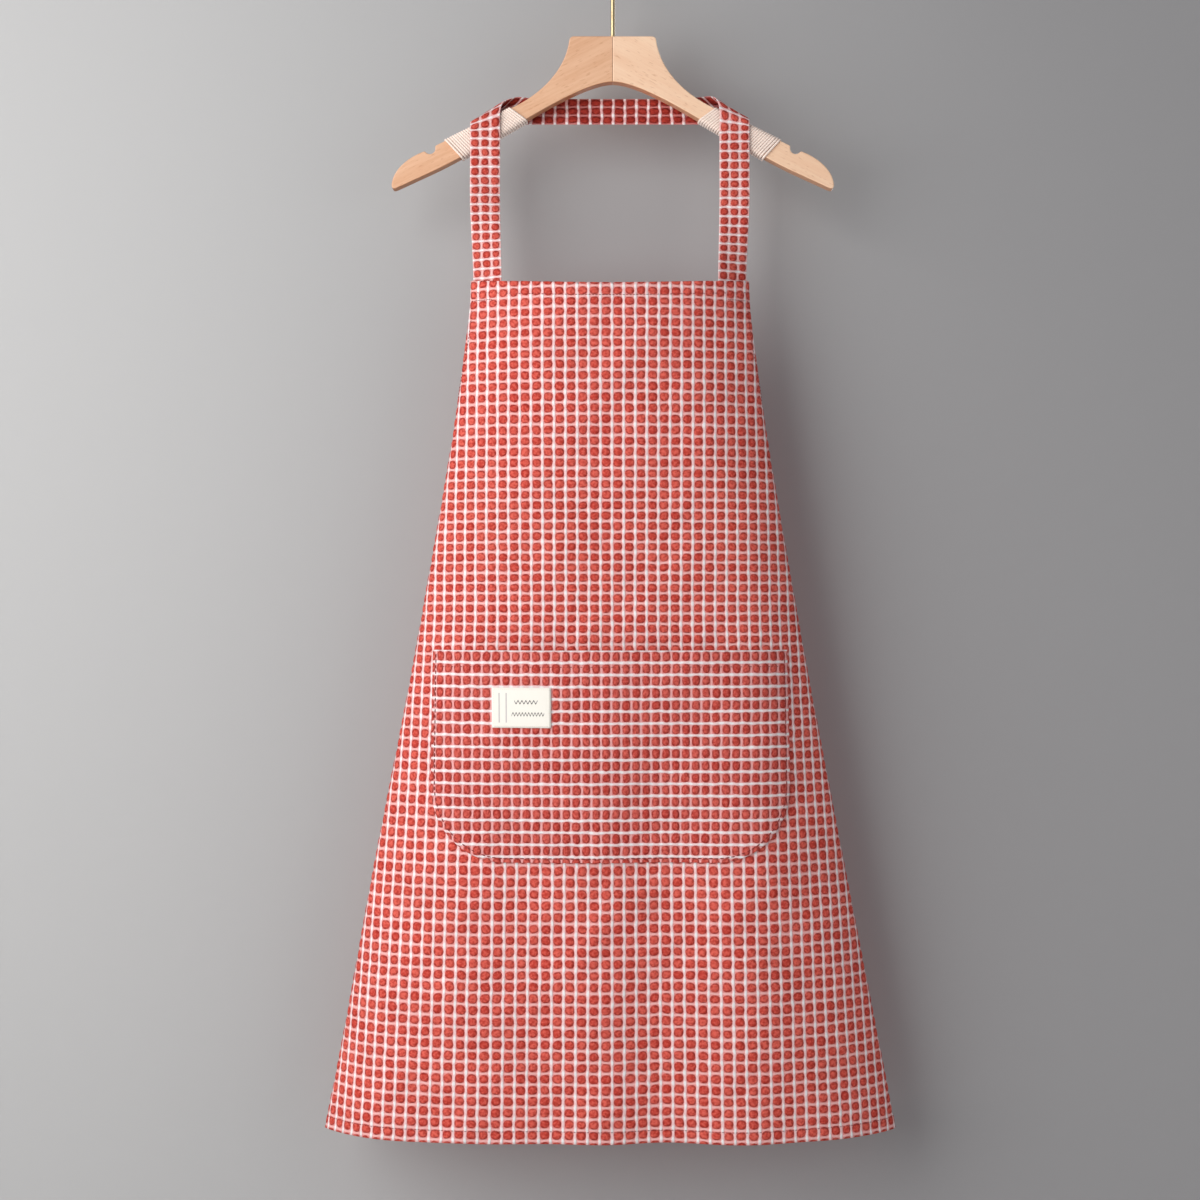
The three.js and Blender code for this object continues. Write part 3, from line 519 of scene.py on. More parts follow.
# Each second colour is the painted shade of the grooves and the darker fibre tone.
COTTON_CORD = twisted("cotton_cord", (0.94, 0.79, 0.70), (0.66, 0.44, 0.35), 1, 0.00012)
RED_THREAD = twisted("red_thread", (0.26, 0.014, 0.011), (0.10, 0.006, 0.005), 2, 0.0001)
CREAM_THREAD = twisted("cream_thread", (0.88, 0.80, 0.70), (0.55, 0.45, 0.36), 2, 0.0001)
print("brass, cord and threads")

# %% [markdown]
# The woven label is plain cream. Two thin grey bars run down its left side, and two
# rows of running stitches stand where a maker would put a line of text.

# %% Label finish
def label_cloth():
    f = Finish("cream_cotton", roughness=0.85, sheen=0.1)
    across, down, _ = f.cloth()
    weft = f.grain(across * 14.0, down * 130.0, detail=1.0)
    warp = f.grain(across * 190.0, down * 9.0, 3.0, detail=1.0)
    base = f.blend(weft * 0.5 + warp * 0.5, (0.97, 0.94, 0.87), (0.89, 0.85, 0.76))
    bar = lambda at, wide: 1.0 - abs(across - at).step(wide * 0.5, wide)
    bars = bar(0.125, 0.013) + bar(0.245, 0.013)
    bars = bars * (1.0 - abs(down - 0.5).step(0.36, 0.38))
    wave = lambda at, pace: 1.0 - abs(
        down - at - (across * pace).sine() * 0.035
    ).step(0.012, 0.024)
    rows = wave(0.36, 95.0) * (1.0 - abs(across - 0.58).step(0.19, 0.2))
    rows = rows + wave(0.66, 118.0) * (1.0 - abs(across - 0.61).step(0.27, 0.28))
    base = f.blend(bars.math("MINIMUM", 1.0) * 0.8, base, (0.45, 0.40, 0.43))
    f.colour(f.blend(rows.math("MINIMUM", 1.0), base, (0.10, 0.08, 0.08)))
    f.bump(weft + warp, 0.0001)
    return f.material


LABEL_CLOTH = label_cloth()

# %% [markdown]
# ## How the cloth hangs
# The apron is one flat sheet that hangs curved. At any level the cloth leaves the
# middle line straight, turns back more and more towards the side, goes round a small
# fold and returns behind. Heading angle against distance along the cloth says all of
# this, and adding up the cosines and sines of the headings gives the place.

# %% Sizes of the apron, in millimetres
BIB_TOP, BIB_DIP, LENGTH, SHIFT = -337.0, 7.0, 844.0, -3.0
BIB_CLOTH, SKIRT_CLOTH = 146.0, 352.0
ARMHOLE, ARMHOLE_POWER = 300.0, 2.4
BIB_SPAN, HEM_SPAN, SPAN_EASE, EASE_LENGTH = 139.0, 284.7, 16.5, 110.0
HEM_FORWARD, FOLD, WING = 15.6, 13.0, 0.1
BIB_TURN, WAIST_TURN, HEM_TURN = 0.62, 0.60, 0.90
BROAD_DEPTH, BROAD_MIDDLE, BROAD_FOLD = 6.0, 57.0, 26.0
BROAD_START, BROAD_END, BROAD_RISE = -66.0, 240.0, 650.0
SMALL_DEPTH, SMALL_FOLD, SMALL_SLANT = 0.9, 17.0, 210.0
HEADING_PARTS = 150
POWER_TOP, POWER_HEM = 1.6, 3.5
CLOTH, GAP, SEAM_EASE = 1.2, 0.3, 0.4
WINDING_CLEAR, WOOD_HALF, STRAP_THICK = 2.1, 7.0, 2.4
STRAP_FRONT = -WOOD_HALF - WINDING_CLEAR - GAP - STRAP_THICK / 2
SAGITTA = BIB_CLOTH * (
    BIB_TURN / (POWER_TOP + 1) - BIB_TURN**3 / (6 * (3 * POWER_TOP + 1))
)
BIB_FRONT = STRAP_FRONT - STRAP_THICK / 2 - GAP - CLOTH / 2 - SAGITTA


def half_cloth(down):
    """Half the cloth's width: the armhole widens the bib to the skirt by a power."""
    armhole = np.minimum(np.maximum(down, 0) / ARMHOLE, 1) ** ARMHOLE_POWER
    return mix(BIB_CLOTH, SKIRT_CLOTH, armhole)


def hang(across, down, out=0.0):
    """Point and outward normal of the hung cloth. across and down are distances along
    the cloth from the middle of the bib's top, and out is in front of it. The heading
    is turn times a power of the distance up to the side fold and rises evenly round
    the fold after it. The place is the sum of the heading's cosines and sines. A broad
    fold to the right of the middle and small slanting ones are waves along the normal,
    and they fade out towards the bib."""
    across, down, out = np.broadcast_arrays(
        *(np.asarray(value, float) for value in (across, down, out))
    )
    share = np.clip(down, 0, None) / LENGTH
    taper = (HEM_SPAN - BIB_SPAN + SPAN_EASE) / LENGTH
    eased = SPAN_EASE * (1 - np.exp(-np.maximum(down, 0) / EASE_LENGTH))
    span = BIB_SPAN + taper * down - eased
    waist = ARMHOLE / LENGTH
    turn = np.where(
        share < waist,
        mix(BIB_TURN, WAIST_TURN, share / waist),
        mix(WAIST_TURN, HEM_TURN, (share - waist) / (1 - waist)),
    )
    power = mix(POWER_TOP, POWER_HEM, share)
    fold = mix(4.0, FOLD, ease(down / 150))
    shown = 1 - turn**2 / (2 * (2 * power + 1)) + turn**4 / (24 * (4 * power + 1))
    cloth = half_cloth(down)
    front = np.minimum((span - fold * (1 - np.sin(turn))) / shown, cloth - 3)
    reach = np.abs(across)

    def heading(at):
        flat = turn * np.minimum(at / front, 1) ** power
        return np.minimum(flat + np.maximum(at - front, 0) / fold, math.pi - WING)

    x, y = np.zeros_like(reach), np.zeros_like(reach)
    for part in range(HEADING_PARTS):
        angle = heading((part + 0.5) / HEADING_PARTS * reach)
        x += np.cos(angle) * reach / HEADING_PARTS
        y += np.sin(angle) * reach / HEADING_PARTS
    angle = heading(reach)
    side = np.where(across < 0, -1.0, 1.0)
    normal = np.stack([side * np.sin(angle), -np.cos(angle), np.zeros_like(angle)], -1)
    start = BIB_FRONT - HEM_FORWARD * share
    point = np.stack([SHIFT + side * x, start + y, BIB_TOP - down], -1)
    loose = ease((down - 40) / 500) * (1 - 0.5 * ease((reach - front) / 20))
    place = ease((across - BROAD_START) / 120) * ease((BROAD_END - across) / 100)
    broad = np.cos((across - BROAD_MIDDLE) / BROAD_FOLD) * ease(down / BROAD_RISE) * place
    small = np.sin(across / SMALL_FOLD - down / SMALL_SLANT)
    wave = loose * (SMALL_DEPTH * small - BROAD_DEPTH * broad)
    return point + normal * (out + wave)[..., None], normal


print("bib front at", round(BIB_FRONT, 2), "mm")

# %% [markdown]
# The weave's own coordinates follow. Lines run down the cloth and spread a little
# towards the hem, where the crinkles open. The bands are closer at the waist.

# %% Weave coordinates
LINE_PITCH = ([0, 220, 330, 620, 844], [11.45, 11.3, 11.2, 11.65, 11.9])
BAND_PITCH = (
    [0, 60, 130, 230, 330, 560, 700, 844], [9.9, 10.3, 10.9, 10.2, 9.9, 11.3, 11.2, 10.7]
)
FIRST_LINE = 1.9
PUFF_HEIGHT, PUFF_POWER = 0.5, 0.55
down_table = np.linspace(-10, LENGTH + 10, 865)
table_step = down_table[1] - down_table[0]
band_table = np.cumsum(1 / np.interp(down_table, *BAND_PITCH)) * table_step
band_table -= np.interp(0, down_table, band_table)


def weave_at(across, down):
    """Line number and band number of a place on the cloth."""
    line = (across - FIRST_LINE) / np.interp(down, *LINE_PITCH)
    return line, np.interp(down, down_table, band_table)


def puffs(line, band, height=PUFF_HEIGHT):
    """Relief of the puffs: the product of two sines of the fractions between lines,
    raised to a power below one to flatten the top, centred on the cloth's middle."""
    bulge = np.abs(np.sin(np.pi * line) * np.sin(np.pi * band)) ** PUFF_POWER
    return height * (2 * bulge - 1)


def bib_top(across):
    """The top edge sags between its corners, as a parabola."""
    return BIB_DIP * (1 - np.minimum(np.abs(across) / (BIB_CLOTH - 3), 1) ** 2)


print("bands down the apron", round(float(weave_at(0, LENGTH)[1]), 1))

# %% [markdown]
# ## The body of the apron
# The grid's points lie on the lines and at thirds between them, so the puffs keep
# their shape everywhere. Points beyond the armhole's curve or above the top edge are
# moved to the edge and welded, which cuts the cloth cleanly. Solidify gives it its
# thickness and rim.

# %% Body panel
THIRDS = 3
BODY_RIM, POCKET_RIM, LABEL_RIM = 0.7, 0.6, 0.45
BODY_FLAT_EDGE, POCKET_FLAT_EDGE = 9.0, 7.0


def solid_cloth(piece, thickness):
    """Live Solidify, centred on the surface. The puffs stand on its two faces, so it is
    thinner than the cloth as a whole."""
    modifier = piece.modifiers.new("thickness", "SOLIDIFY")
    modifier.thickness, modifier.offset = thickness * MM, 0.0
    return piece


def body_panel():
    most = int(SKIRT_CLOTH / 11) + 2
    line = np.arange(-most * THIRDS, most * THIRDS + 1) / THIRDS
    last = float(weave_at(0, LENGTH)[1])
    band = np.append(np.arange(0, last, 1 / THIRDS), last)
    down = np.interp(band, band_table, down_table)
    down[0], down[-1] = 0.0, LENGTH
    across = FIRST_LINE + line[None, :] * np.interp(down, *LINE_PITCH)[:, None]
    level = np.broadcast_to(down[:, None], across.shape)
    edge = half_cloth(level)
    across = np.clip(across, -edge, edge)
    level = np.maximum(level, bib_top(across))
    across, level, faces = cut_cloth(across, level)
    number = np.stack(weave_at(across, level), -1)
    to_edge = np.minimum(half_cloth(level) - np.abs(across), LENGTH - level)
    out = puffs(*number.T) * (0.35 + 0.65 * ease(to_edge / BODY_FLAT_EDGE))
    points, _ = hang(across, level, out)
    return solid_cloth(make_piece("apron_body", points, faces, uv=number), BODY_RIM)


BODY = settle(body_panel(), CHECK, "apron", "check_cotton", "body_panel")
flat_area = float(np.mean(2 * half_cloth(np.linspace(0, LENGTH, 400)))) * LENGTH * MM**2
print("flat area of the body", round(flat_area, 4), "square metres")

# %% [markdown]
# ## The patch pocket
# The pocket is cut with the white lines across it. It has two rounded lower corners
# and its mouth stands open a little. A grid with the same welded edge makes it, on the
# body's own hanging surface and in front of it.

# %% Pocket
POCKET_HALF, POCKET_TOP, POCKET_DEPTH, POCKET_CORNER = 177.0, 366.0, 206.0, 75.0
POCKET_LOW = POCKET_TOP + POCKET_DEPTH
POCKET_CLOTH, POCKET_BULGE = 1.0, 9.0


def pocket_out(across, down):
    """Distance of the pocket's middle in front of the body's: the seam's allowance plus
    a bulge that is widest at the middle of the mouth."""
    side = np.minimum(np.abs(across) / POCKET_HALF, 1)
    height = np.clip((POCKET_LOW - down) / POCKET_DEPTH, 0, 1)
    bulge = POCKET_BULGE * (1 - side**2) * ease(height * 1.1) ** 1.2
    return CLOTH / 2 + GAP + SEAM_EASE + POCKET_CLOTH / 2 + bulge


def pocket_half(down):
    """Half width: full to the round corners, then a quarter circle."""
    below = np.clip((down - POCKET_LOW + POCKET_CORNER) / POCKET_CORNER, 0, 1)
    return POCKET_HALF - POCKET_CORNER * (1 - np.sqrt(np.maximum(1 - below**2, 0)))


POCKET_LINE, POCKET_BAND, POCKET_MIDDLE = 12.1 * 0.974, 9.9 * 0.974, 1.0
POCKET_STEPS, POCKET_PUFF = 4, 0.38


def pocket_weave(across, down):
    return (down - POCKET_TOP) / POCKET_LINE, (across - POCKET_MIDDLE) / POCKET_BAND


def pocket():
    line = np.arange(0, int(POCKET_DEPTH / POCKET_LINE) * POCKET_STEPS + 1) / POCKET_STEPS
    near_edge = POCKET_LOW - np.array([4.0, 1.2, 0.3, 0.0])
    down = np.append(POCKET_TOP + line * POCKET_LINE, near_edge)
    down = np.unique(np.minimum(down, POCKET_LOW))
    most = int(POCKET_HALF / POCKET_BAND) + 1
    band = np.arange(-most * POCKET_STEPS, most * POCKET_STEPS + 1) / POCKET_STEPS
    across = np.broadcast_to(POCKET_MIDDLE + band * POCKET_BAND, (len(down), len(band)))
    level = np.broadcast_to(down[:, None], across.shape)
    half = pocket_half(level)
    across = np.clip(across, -half, half)
    across, level, faces = cut_cloth(across, level)
    number = np.stack(pocket_weave(across, level), -1)
    to_edge = np.minimum(pocket_half(level) - np.abs(across), POCKET_LOW - level)
    relief = puffs(*number.T, POCKET_PUFF) * (0.3 + 0.7 * ease(to_edge / POCKET_FLAT_EDGE))
    points, _ = hang(across, level, pocket_out(across, level) + relief)
    return solid_cloth(make_piece("apron_pocket", points, faces, uv=number), POCKET_RIM)


POCKET = settle(pocket(), CHECK_POCKET, "apron", "check_cotton", "pocket")

# %% [markdown]
# ## The label
# A small woven tab sewn flat on the pocket.

# %% Label
LABEL_LEFT, LABEL_WIDTH, LABEL_TOP, LABEL_HEIGHT = -114.0, 57.0, 402.0, 39.0
LABEL_THICK = 0.6


def label_out(across, down):
    return pocket_out(across, down) + POCKET_CLOTH / 2 + GAP + 0.1 + LABEL_THICK / 2


def label():
    u, v = np.meshgrid(np.linspace(0, 1, 25), np.linspace(0, 1, 17))
    across, down = LABEL_LEFT + LABEL_WIDTH * u, LABEL_TOP + LABEL_HEIGHT * v
    pucker = 0.12 * np.sin(across * 1.9) * np.sin(down * 1.7)
    points, _ = hang(across, down, label_out(across, down) + pucker)
    faces = grid_faces(*u.shape).tolist()
    return make_piece("apron_label", points, faces, uv=np.stack([u, v], -1))


tab = solid_cloth(label(), LABEL_RIM)
LABEL = settle(tab, LABEL_CLOTH, "apron", "cream_cotton", "label")

# %% [markdown]
# ## Straps and ties
# A strap is a tube of cloth pressed flat. Its section is a flat ring with round edges,
# carried between two edge curves, and the puffs are added on both faces. The neck
# strap goes up in front of the arms, over the windings, and level behind the hanger.

# %% Flat tube of cloth
def ribbon(
    name, edge_a, edge_b, thickness, along_number, rows, relief=0.32, cells=6, shaded_face=None
):
    """The section is a flat ring: across runs from edge to edge and back by a cosine,
    and the height off the middle is the sine to a low power, which keeps the faces
    flat and the edges round. along_number counts the white cross lines."""
    middle = (edge_a + edge_b) / 2
    along = np.gradient(middle, axis=0)
    wide = edge_b - edge_a
    normal = unit(np.cross(along, wide))
    ring = np.linspace(0, 2 * np.pi, 2 * rows * cells + 1)[:-1]
    share = 0.5 - 0.5 * np.sign(np.cos(ring)) * np.abs(np.cos(ring)) ** 0.8
    lift = np.sign(np.sin(ring)) * np.abs(np.sin(ring)) ** 0.25
    number = grid_map(share * rows, along_number)[..., ::-1]
    bulge = puffs(number[..., 0], number[..., 1], relief)
    height = lift * (thickness / 2 - relief + bulge * np.abs(lift))
    points = edge_a[:, None] + wide[:, None] * share[None, :, None]
    points = points + normal[:, None] * height[..., None]
    count, sides = height.shape
    piece = make_piece(name, points, tube_faces(count, sides), uv=number)
    # one face of the strap, towards the hanger, takes a second material: a darker copy of the
    # check that is painted shade
    if shaded_face is not None:
        inner = np.append(np.tile(np.arange(sides) < sides // 2, count - 1), [False, False])
        piece.data.polygons.foreach_set("material_index", inner.astype(np.int32))
    return piece


def band_numbers(edge_a, edge_b, pitch):
    """Running count of the cross lines for a pitch that may change along the strap."""
    middle = (edge_a + edge_b) / 2
    at = run_length(middle)
    pitch = np.broadcast_to(pitch, at.shape)
    step = np.diff(at) / ((pitch[1:] + pitch[:-1]) / 2)
    return np.concatenate([[0], np.cumsum(step)])


# %% Neck strap
HOOK_HEIGHT = 92.0
ARM_START, ARM_START_DROP, ARM_SLOPE = 95.0, 68.5, 0.496
ARM_TIP, ELBOW_FROM_TIP = 220.6, 60.6
ARM_DEPTHS = (18.8, 25.3, 23.2)
STRAP_WIDTH, STRAP_TUCK, STRAP_BACK_TOP = 30.0, 26.0, -148.5


def arm_top(x):
    return -HOOK_HEIGHT - ARM_START_DROP - ARM_SLOPE * (np.abs(x) - ARM_START)


def arm_bottom(x):
    """The lower edge lies under the upper one by a depth that goes straight from the
    arm's inner end to its elbow and from there to the tip."""
    ends = (ARM_START - 9, ARM_TIP - ELBOW_FROM_TIP, ARM_TIP - 3.6)
    slope = (ARM_DEPTHS[2] - ARM_DEPTHS[1]) / (ends[2] - ends[1])
    beyond = np.maximum(np.abs(x) - ends[2], 0) * slope
    return arm_top(x) - np.interp(np.abs(x), ends, ARM_DEPTHS) - beyond


STRAP_OUTER = 145.0
STRAP_BACK = WOOD_HALF + WINDING_CLEAR + GAP + STRAP_THICK / 2
STRAP_STEPS, STRAP_PITCHES, STRAP_END_WIDER = 340, (11.7, 9.35), 5.0


def strap_edges(side):
    behind = -(CLOTH / 2 + GAP + STRAP_THICK / 2 + SEAM_EASE)
    tuck = lambda at, down: hang(side * at, down, behind)[0].tolist()
    winding_top = lambda x: arm_top(x) + WINDING_CLEAR / math.cos(ARM_ANGLE)
    outer_x = SHIFT + side * BIB_SPAN
    inner_x = outer_x - side * STRAP_WIDTH
    outer_top, inner_top = winding_top(outer_x), winding_top(inner_x)
    over = STRAP_THICK / 2 + GAP + 0.6
    back_low = STRAP_BACK_TOP - STRAP_WIDTH + 2.6
    low, under = mix(arm_bottom(outer_x), BIB_TOP, 0.4), arm_bottom(outer_x) - 6
    outer = [
        tuck(STRAP_OUTER, STRAP_TUCK),
        tuck(STRAP_OUTER, 2),
        (outer_x, STRAP_FRONT - 0.4, low),
        (outer_x, STRAP_FRONT - 0.2, under),
        (outer_x, STRAP_FRONT, outer_top - 8),
        (outer_x, STRAP_FRONT * 0.97, outer_top + 1),
        (outer_x - side * 0.5, 0, outer_top + over + 2.6),
        (outer_x - side * 6, STRAP_BACK * 0.98, outer_top + 2.6),
        (outer_x - side * 16, STRAP_BACK + 0.4, mix(outer_top, back_low, 0.6)),
        (outer_x - side * 34, STRAP_BACK + 0.4, back_low),
        (SHIFT + side * 84, STRAP_BACK + 0.4, back_low),
        (SHIFT + side * 50, STRAP_BACK + 0.4, back_low),
    ]
    inner = [
        tuck(STRAP_OUTER - STRAP_WIDTH - STRAP_END_WIDER, STRAP_TUCK),
        tuck(STRAP_OUTER - STRAP_WIDTH - STRAP_END_WIDER, 2),
        (inner_x, STRAP_FRONT - 0.4, low),
        (inner_x, STRAP_FRONT - 0.2, under),
        (inner_x, STRAP_FRONT, outer_top - 8),
        (inner_x, STRAP_FRONT - 0.3, inner_top - 2),
        (inner_x - side * 2.5, STRAP_FRONT * 0.5, inner_top + 8.5),
        (inner_x - side * 8, STRAP_BACK * 0.3, inner_top + 14),
        (inner_x - side * 17, STRAP_BACK * 1.1, STRAP_BACK_TOP + 0.5),
        (inner_x - side * 30, STRAP_BACK + 5, STRAP_BACK_TOP),
        (SHIFT + side * 78, STRAP_BACK + 6, STRAP_BACK_TOP),
        (SHIFT + side * 50, STRAP_BACK + 7, STRAP_BACK_TOP),
    ]
    return inner, outer


def neck_strap():
    (left_in, left_out), (right_in, right_out) = strap_edges(-1), strap_edges(1)
    inner = smooth_curve(left_in + right_in[::-1], STRAP_STEPS)
    outer = smooth_curve(left_out + right_out[::-1], STRAP_STEPS)
    behind = ((inner + outer) / 2)[:, 1] > 6
    pitch = np.where(behind, *STRAP_PITCHES)
    pitch = np.convolve(np.pad(pitch, 10, mode="edge"), np.ones(21) / 21, mode="valid")
    number = band_numbers(inner, outer, pitch)
    strap = ribbon(
        "neck_strap_cloth", outer, inner, STRAP_THICK, number, rows=3, shaded_face=CHECK_SHADED_STRAP
    )
    return strap, run_length((inner + outer) / 2)[-1]


STRAP, strap_length = neck_strap()
settle(STRAP, CHECK_STRAP, "apron", "check_cotton", "neck_strap")
# The second slot is the painted shade palette for the strap's face towards the hanger.
STRAP.data.materials.append(CHECK_SHADED_STRAP)
print("strap length", round(strap_length, 1), "mm")

# %% [markdown]
# ## Waist ties in a bow
# Each tie is a strip of the same cloth, sewn inside the folded side. The two are tied
# behind in a bow: a gathered band to the knot, a loop and a hanging tail on each side.

# %% Waist ties
TIE_WIDTH, TIE_THICK, TIE_TAIL, TIE_PITCH, BOW_LOOP = 30.0, 2.0, 420.0, 11.4, 82.0
TIE_DOWN = ARMHOLE + TIE_WIDTH / 2 + 4
TIE_OUT = -(CLOTH / 2 + GAP + TIE_THICK / 2 + 2 * SEAM_EASE)
wing_edge, _ = hang(SKIRT_CLOTH, TIE_DOWN)
KNOT = np.array([SHIFT, wing_edge[1] + 8, wing_edge[2] - 10])
KNOT_DEEP, KNOT_HIGH, KNOT_HALF, KNOT_CREASE = 8.2, 12.2, 10.5, 0.5


def strip(points, half, way, steps):
    """Two edges either side of a curve: half the width along the given way."""
    line = smooth_curve(points, steps)
    u = np.linspace(0, 1, steps + 1)
    reach = half(u)[:, None] * np.asarray(way, float)[None, :]
    return line + reach, line - reach


def tie_parts(side):
    sewn = lambda back: hang(side * (SKIRT_CLOTH - back), TIE_DOWN, TIE_OUT)[0].tolist()
    at = lambda x, y, z: (SHIFT + side * x, KNOT[1] + y, KNOT[2] + z)
    halfway = abs(sewn(0)[0] - SHIFT) / 2
    gathered = strip(
        [sewn(24), sewn(0), sewn(-7), at(halfway, -2, 4), at(3.5, 0, 0)],
        lambda u: mix(TIE_WIDTH / 2, 6.0, ease(u * 1.2 - 0.3)), (0, 0, 1), 70,
    )
    droop = -BOW_LOOP * 0.42
    near, far = (BOW_LOOP * 0.5, droop * 0.36), (BOW_LOOP * 0.94, droop * 0.92)
    loop = strip(
        [
            at(3.5, 1, 0), at(near[0], 4, near[1]), at(far[0], 5, far[1]),
            at(BOW_LOOP, 11, droop),
            at(far[0], 17, far[1]), at(near[0], 18, near[1]), at(3.5, 5, 0),
        ],
        lambda u: mix(5.0, TIE_WIDTH / 2, ease(np.minimum(u, 1 - u) * 4)),
        (side * 0.39, 0, 0.92), 150,
    )
    tail = strip(
        [at(4, 2, 0), at(12, 4, -40), at(23, 3, -TIE_TAIL * 0.5), at(29, 4, -TIE_TAIL)],
        lambda u: mix(5.0, TIE_WIDTH / 2 - 1, ease(u * 5)), (1, 0, 0), 190,
    )
    return {"band": gathered, "loop": loop, "tail": tail}


def join_pieces(name, parts):
    """One object from several, in the order given."""
    bpy.ops.object.select_all(action="DESELECT")
    for part in parts:
        part.select_set(True)
    bpy.context.view_layer.objects.active = parts[0]
    bpy.ops.object.join()
    parts[0].name = parts[0].data.name = name
    return parts[0]


def knot_wrap():
    """The turn of cloth round the knot: a ring round the crossing, in the plane across
    the bow, whose width bulges in the middle and whose surface carries soft creases."""
    turn, wide = np.meshgrid(np.linspace(0, 2 * np.pi, 49)[:-1], np.linspace(-1, 1, 15))
    crease = KNOT_CREASE * np.cos(3.2 * wide * np.pi + 0.5 * np.sin(turn))
    deep = 1 - 0.42 * np.abs(wide) ** 3
    y = KNOT[1] + 3 + (KNOT_DEEP + crease) * deep * np.cos(turn)
    z = KNOT[2] + (KNOT_HIGH + crease) * deep * np.sin(turn)
    x = SHIFT + wide * KNOT_HALF + 0.8 * np.sin(turn * 2)
    points = np.stack([x, y, z], -1)
    uv = np.stack([turn / (2 * np.pi) * 5.0, wide * 1.1 + 0.5], -1)
    return make_piece("knot", points, tube_faces(*turn.shape), uv=uv)


for side, side_name in SIDES:
    parts = []
    for part, (edge_a, edge_b) in tie_parts(side).items():
        number = band_numbers(edge_a, edge_b, TIE_PITCH)
        shape = dict(thickness=TIE_THICK, along_number=number, rows=3, relief=0.25, cells=4)
        parts.append(ribbon("tie_" + part, edge_a, edge_b, **shape))
    if side > 0:
        parts.append(knot_wrap())
    tie = join_pieces("waist_tie_cloth_" + side_name, parts)
    settle(tie, CHECK, "apron", "check_cotton", "waist_tie_" + side_name)

# %% [markdown]
# ## Stitches
# Sewing shows as a row of short stitches that dive into the cloth at both ends. One
# stitch is a small spindle. All of a row's spindles come from one array, placed along
# the seam at equal steps.

# %% Rows of stitches
STITCH_SIDES, STITCH_SINK = 6, 0.45
ON_BODY, ON_POCKET, ON_LABEL = 0.55, 0.5, 0.42
STITCH_SHARES = np.array([0.04, 0.25, 0.5, 0.75, 0.96])


def stitch_row(name, seam, node, length=2.6, pace=3.3, radius=0.32, thread=RED_THREAD):
    """Each stitch is a spindle: the radius is the square root of a sine along it, and
    its height above the cloth is the same sine, so both ends sink in. The seam is a row
    of places and their outward normals."""
    points, normals = seam
    at = run_length(points)
    count = max(int(at[-1] / pace), 2)
    middle = (np.arange(count) + 0.5) * at[-1] / count
    pick = lambda values, where: np.stack(
        [np.interp(where, at, values[:, axis]) for axis in range(3)], -1
    )
    share = STITCH_SHARES
    where = middle[:, None] + (share - 0.5)[None, :] * length
    centre, up = pick(points, where.ravel()), unit(pick(normals, where.ravel()))
    ahead = unit(pick(points, where.ravel() + 0.2) - pick(points, where.ravel() - 0.2))
    aside = unit(np.cross(up, ahead))
    arch = np.sin(np.pi * np.tile(share, count))[:, None]
    thick = radius * np.sqrt(arch)
    centre = centre + up * (arch - 1) * STITCH_SINK
    places = centre[:, None] + rings(aside, up, STITCH_SIDES) * thick[:, None]
    one = grid_faces(len(share), STITCH_SIDES, closed=True)
    ends = np.arange(count)[:, None] * len(share) * STITCH_SIDES
    faces = (one[None] + ends[:, None]).reshape(-1, 4).tolist()
    last_ring = (len(share) - 1) * STITCH_SIDES
    cap = np.arange(STITCH_SIDES)
    faces += (ends + cap[::-1]).tolist() + (ends + last_ring + cap).tolist()
    uv = grid_map(np.arange(STITCH_SIDES) / STITCH_SIDES, share * 3)
    piece = make_piece(name, places, faces, uv=np.tile(uv, (count, 1, 1)))
    slot = "cream_thread" if thread is CREAM_THREAD else "red_thread"
    return settle(piece, thread, "apron", slot, node)


def on_body(across, down):
    """On the cloth's front face, just proud of the puffs' mean height."""
    return hang(across, down, ON_BODY)


def on_pocket(across, down):
    return hang(across, down, pocket_out(across, down) + ON_POCKET)


SEAM_INSET, HEM_TURNED, MOUTH_TURNED = 4.0, 12.0, 16.0
STRAP_TACK_DOWN, TIE_TACK_IN = 20.5, 14.0
wide = np.linspace(-1, 1, 121)
bib_wide = wide * (BIB_CLOTH - 2)
skirt_wide = wide * (SKIRT_CLOTH - 6)
side_down = np.linspace(16, LENGTH - 16, 200)
tack_across = np.linspace(STRAP_OUTER - STRAP_WIDTH + 4, STRAP_OUTER - 5, 12)
tie_tack_down = TIE_DOWN + np.linspace(-TIE_WIDTH / 2 + 3, TIE_WIDTH / 2 - 3, 8)
bib_hem = on_body(bib_wide, bib_top(bib_wide) + HEM_TURNED)
stitch_row("stitches_bib_hem", bib_hem, "bib_hem_stitch")
stitch_row("stitches_bottom_hem", on_body(skirt_wide, LENGTH - HEM_TURNED), "bottom_hem_stitch")
for side, side_name in SIDES:
    seam = on_body(side * (half_cloth(side_down) - SEAM_INSET), side_down)
    stitch_row("stitches_side_" + side_name, seam, "side_stitch_" + side_name)
    seam = on_body(side * tack_across, STRAP_TACK_DOWN)
    stitch_row("stitches_strap_" + side_name, seam, "strap_tack_" + side_name, 1.6, 1.9)
    seam = on_body(side * (SKIRT_CLOTH - TIE_TACK_IN), tie_tack_down)
    stitch_row("stitches_tie_" + side_name, seam, "tie_tack_" + side_name, 1.8, 2.2)

